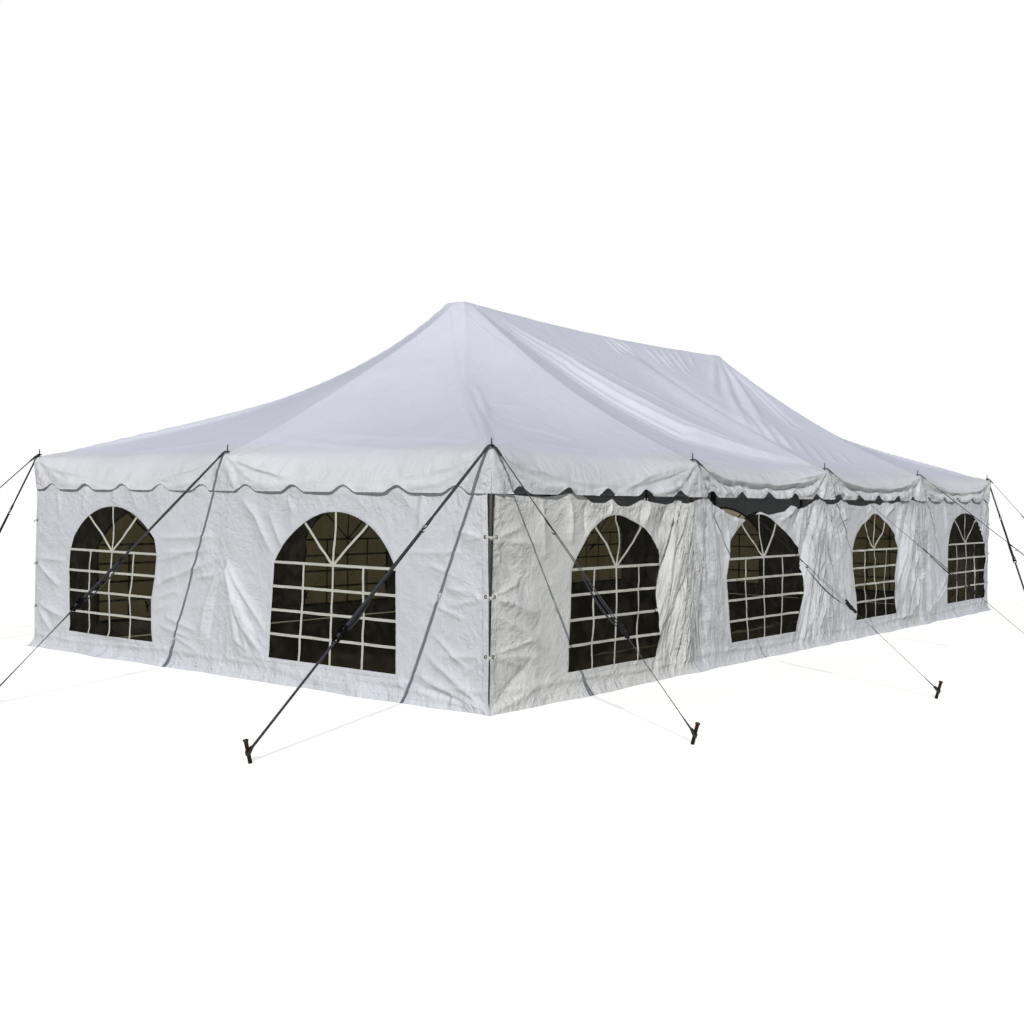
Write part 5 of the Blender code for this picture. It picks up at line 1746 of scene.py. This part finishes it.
def add_ring(shape, centre, start, outward, down, across, normal, layer):
    """A ring round the spike, and the strap's sewn loop through it."""
    around = [Vector((math.cos(t), math.sin(t), 0.0)) for t in circle(24) + [2 * math.pi]]
    tube(shape, [centre + way * RING_RADIUS for way in around], RING_BAR, STEEL, sides=10)
    at = offsets_from(start, down, across, normal)
    loop = [at(0.02 * k - 0.004, 0.0, -0.0042) for k in range(5, 0, -1)]
    loop += [start - outward * 0.0105 - normal * 0.004, start - outward * 0.0145]
    loop += [start - outward * 0.0105 + normal * 0.004]
    loop += [at(0.02 * k, 0.0, 0.0035) for k in range(1, 6)]
    ribbon(shape, loop, across, STRAP_WIDTH, LOOP_THICKNESS, WEB, layer)


def add_tail(shape, ratchet, down, across, normal, seed, layer):
    """The slack end that hangs from the ratchet; its length, sag and curl go by the seed."""
    at = offsets_from(ratchet, down, across, normal)
    slack = 0.012 + 0.030 * abs(math.sin(seed * 1.7))
    reach = 0.32 + 0.25 * abs(math.cos(seed))
    tail = between(at(-0.02, 0.0, -0.012), at(-reach, 0.0, -0.015), 22, sag=slack)
    curl = 0.9 * math.cos(seed * 3.1)
    ribbon(shape, tail, across, STRAP_WIDTH * 0.96, TAIL_THICKNESS, WEB, layer, twist=curl)


def add_stake(shape, foot, end, down, across, stake_way, layer):
    """The strap's last loop, round a bar driven in at a lean with its head spread by the hammer."""
    at = offsets_from(end, down, across, stake_way)
    for way in (-1, 1):
        strand = [at(-0.045, way * 0.002), at(-0.016, way * 0.013), at(0.004, way * 0.0165)]
        strand += [at(0.0165, way * 0.009), at(0.0185, 0.0)]
        ribbon(shape, strand, stake_way, STRAP_WIDTH * 0.8, LOOP_THICKNESS, WEB, layer)
    turned = Matrix((across, stake_way.cross(across), stake_way)).transposed().to_4x4()
    height = STAKE_HEIGHT / stake_way.z
    profile = [
        (0.0, 0.0035), (STAKE_RADIUS, 0.0035), (STAKE_RADIUS, height - 0.020),
        (STAKE_RADIUS * 1.12, height - 0.012), (STAKE_RADIUS * 1.38, height - 0.007),
        (STAKE_RADIUS * 1.42, height - 0.003), (STAKE_RADIUS * 1.1, height), (0.0, height),
    ]
    turned_profile(shape, profile, Matrix.Translation(foot) @ turned, STAKE, sides=20)


print("straps", STRAP_WIDTH, "m wide, stakes", STAKE_HEIGHT, "m high")

# %% [markdown]
# One guy is made along its own three directions: down the strap, across it and square
# to its flat face. Its seed is its number, so every guy's twist and slack tail differ.
# Below the ring the long sides' straps turn on edge, with the hook and ratchet, and the
# last part turns back to lie flat round the stake.

# %% One guy
def add_guy(name, foot, outward, ring_z, hook_at, seed):
    """One guy from the ring on its spike to the stake in the ground."""
    shape = bmesh.new()
    layer = shape.loops.layers.uv.new("flat_cloth")
    foot, outward = Vector(foot), Vector(outward)
    out = guy_out(name, outward)
    ring_centre = foot + Vector((0.0, 0.0, ring_z))
    start = ring_centre + outward * STRAP_START
    end = foot + outward * (out + STRAP_END_Z * STAKE_LEAN) + Vector((0.0, 0.0, STRAP_END_Z))
    down = (end - start).normalized()
    across = Vector((0.0, 0.0, 1.0)).cross(outward).normalized()
    normal = down.cross(across)
    if normal.z < 0:
        across, normal = -across, -normal
    length = (end - start).length
    hook, ratchet = start + down * length * hook_at, start + down * length * RATCHET_AT
    turn, sway = (STRAP_TURN, 0.2) if abs(outward.y) > 0.5 else (0.0, 1.0)
    on_edge = Matrix.Rotation(turn, 3, down)
    set_axes = (down, on_edge @ across, on_edge @ normal)

    add_ring(shape, ring_centre, start, outward, down, across, normal, layer)
    strap = (across, STRAP_WIDTH, STRAP_THICKNESS, WEB, layer)
    upper = between(start + down * 0.02, hook - down * 0.03, 24)
    ribbon(shape, upper, *strap, twist=0.5 * sway * math.sin(seed * 2.3), turn_to=turn)
    lower = between(end - down * 0.03, ratchet + down * 0.052, 24)
    ribbon(shape, lower, *strap, twist=0.35 * sway * math.cos(seed), turn_to=-turn)
    add_hook(shape, hook, *set_axes, layer)
    low, high = hook + down * 0.045, ratchet - down * 0.055
    for way in (-1, 1):
        spread = set_axes[2] * way * STRAND_SPREAD
        strand = between(low + spread * 0.6, high + spread, 20)
        ribbon(shape, strand, set_axes[1], STRAP_WIDTH, STRAND_THICKNESS, WEB, layer)
    add_ratchet(shape, ratchet, *set_axes, layer)
    add_tail(shape, ratchet, *set_axes, seed, layer)
    stake_way = Vector((outward.x * STAKE_LEAN, outward.y * STAKE_LEAN, 1.0)).normalized()
    add_stake(shape, foot + outward * out, end, down, across, stake_way, layer)
    return shape


print("a strap turns by", round(math.degrees(STRAP_TURN)), "degrees on the long sides")

# %% Sixteen guys
count = 0
for name, foot, directions in pole_places():
    for number, outward in enumerate(directions):
        suffix = "" if len(directions) == 1 else ("_x" if abs(outward[0]) > 0.5 else "_y")
        hook_at = HOOK_AT if len(directions) == 2 else SIDE_HOOK_AT
        shape = add_guy(name, foot, outward, RING_Z + number * SECOND_RING_UP, hook_at, count + 0.7)
        guy = add_hardware("webbing_guy_" + name + suffix, shape, [webbing, black_steel, stake_steel])
        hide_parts("guy_" + name + suffix)
        count += 1
print(count, "guys")

# %% [markdown]
# Small fittings finish it. Every spike has a brass eyelet with a rubbed rim in the roof.
# At the corners the two walls are laced together by three white cords through black
# eyelets.

# %% Eyelets in the roof
rim = [(0.0085, -0.0035), (0.017, -0.0035), (0.019, 0.001), (0.015, 0.0042), (0.0085, 0.003)]
for name, foot, _ in pole_places():
    shape = bmesh.new()
    height = float(roof_height(np.array(foot[0]), np.array(foot[1])))
    place = Matrix.Translation((foot[0], foot[1], height))
    turned_profile(shape, rim, place, 0, sides=24)
    eyelet = add_hardware("roof_eyelet_" + name, shape, [eyelet_brass])

print("roof eyelets:", len(pole_places()))

# %% Corner lacing
CORD, CORD_RADIUS, EYELET = 0, 0.0036, 1
eyelet_rim = [(0.006, -0.002), (0.013, -0.001), (0.0145, 0.0015), (0.011, 0.004), (0.006, 0.002)]
bead_radii = [0.002, 0.0055, 0.0065, 0.0055, 0.002]
up = Vector((0.0, 0.0, 1.0))
for before, after in (("left", "front"), ("front", "right"), ("right", "back"), ("back", "left")):
    shape = bmesh.new()
    for z in LACING_HEIGHTS:
        last = SIDES[before][2] - 1
        holes = []
        for side, bay, u in ((before, last, BAY - 0.028), (after, 0, 0.028)):
            spot = hang_wall(side, bay, np.array([u]), np.array([z]))[0]
            holes.append((Vector(spot), Vector(side_axes(side)[2])))
        for point, outward in holes:
            axes = outward.to_track_quat("Z", "Y").to_matrix().to_4x4()
            place = Matrix.Translation(point + outward * 0.003) @ axes
            turned_profile(shape, eyelet_rim, place, EYELET, sides=18)
        (first, out_a), (second, out_b) = holes
        corner = (first.x, second.y, z) if abs(out_a.x) > 0.5 else (second.x, first.y, z)
        middle = Vector(corner) - (out_a + out_b) * 0.005 - up * 0.006
        knot = middle + (out_a + out_b) * 0.004
        for way in (0.0045, -0.0045):
            rise = up * way
            path = [first - out_a * 0.006, first + out_a * 0.006 + rise, middle + rise]
            path += [second + out_b * 0.006 + rise, second - out_b * 0.006]
            smooth = []
            for a, b in zip(path, path[1:]):
                smooth += [a.lerp(b, k / 4) for k in range(4)]
            tube(shape, smooth + [path[-1]], CORD_RADIUS, CORD, sides=8)
        bead = [knot + up * (0.007 - 0.0035 * k) for k in range(5)]
        tube(shape, bead, bead_radii, CORD, sides=10)
        for way in (-1, 1):
            end_way = out_a * 0.002 - up * 0.022 + (second - first).normalized() * way * 0.008
            tube(shape, [knot, knot + end_way * 0.4 + out_b * 0.004, knot + end_way], 0.0022, CORD, sides=8)
    lacing = add_hardware("corner_lacing_" + before, shape, [white_cord, black_enamel])
print("cords at each corner:", len(LACING_HEIGHTS))

# %% [markdown]
# Last, the box of the finished model is set beside the box of the CAD model. Only the folds
# may reach past it, by a few millimetres.

# %% Compare sizes and finish
final_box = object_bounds()
for name, ours, theirs in zip("xyz", final_box[1] - final_box[0], cad_box[1] - cad_box[0]):
    print(name, "visual", round(ours, 3), "CAD", round(theirs, 3))
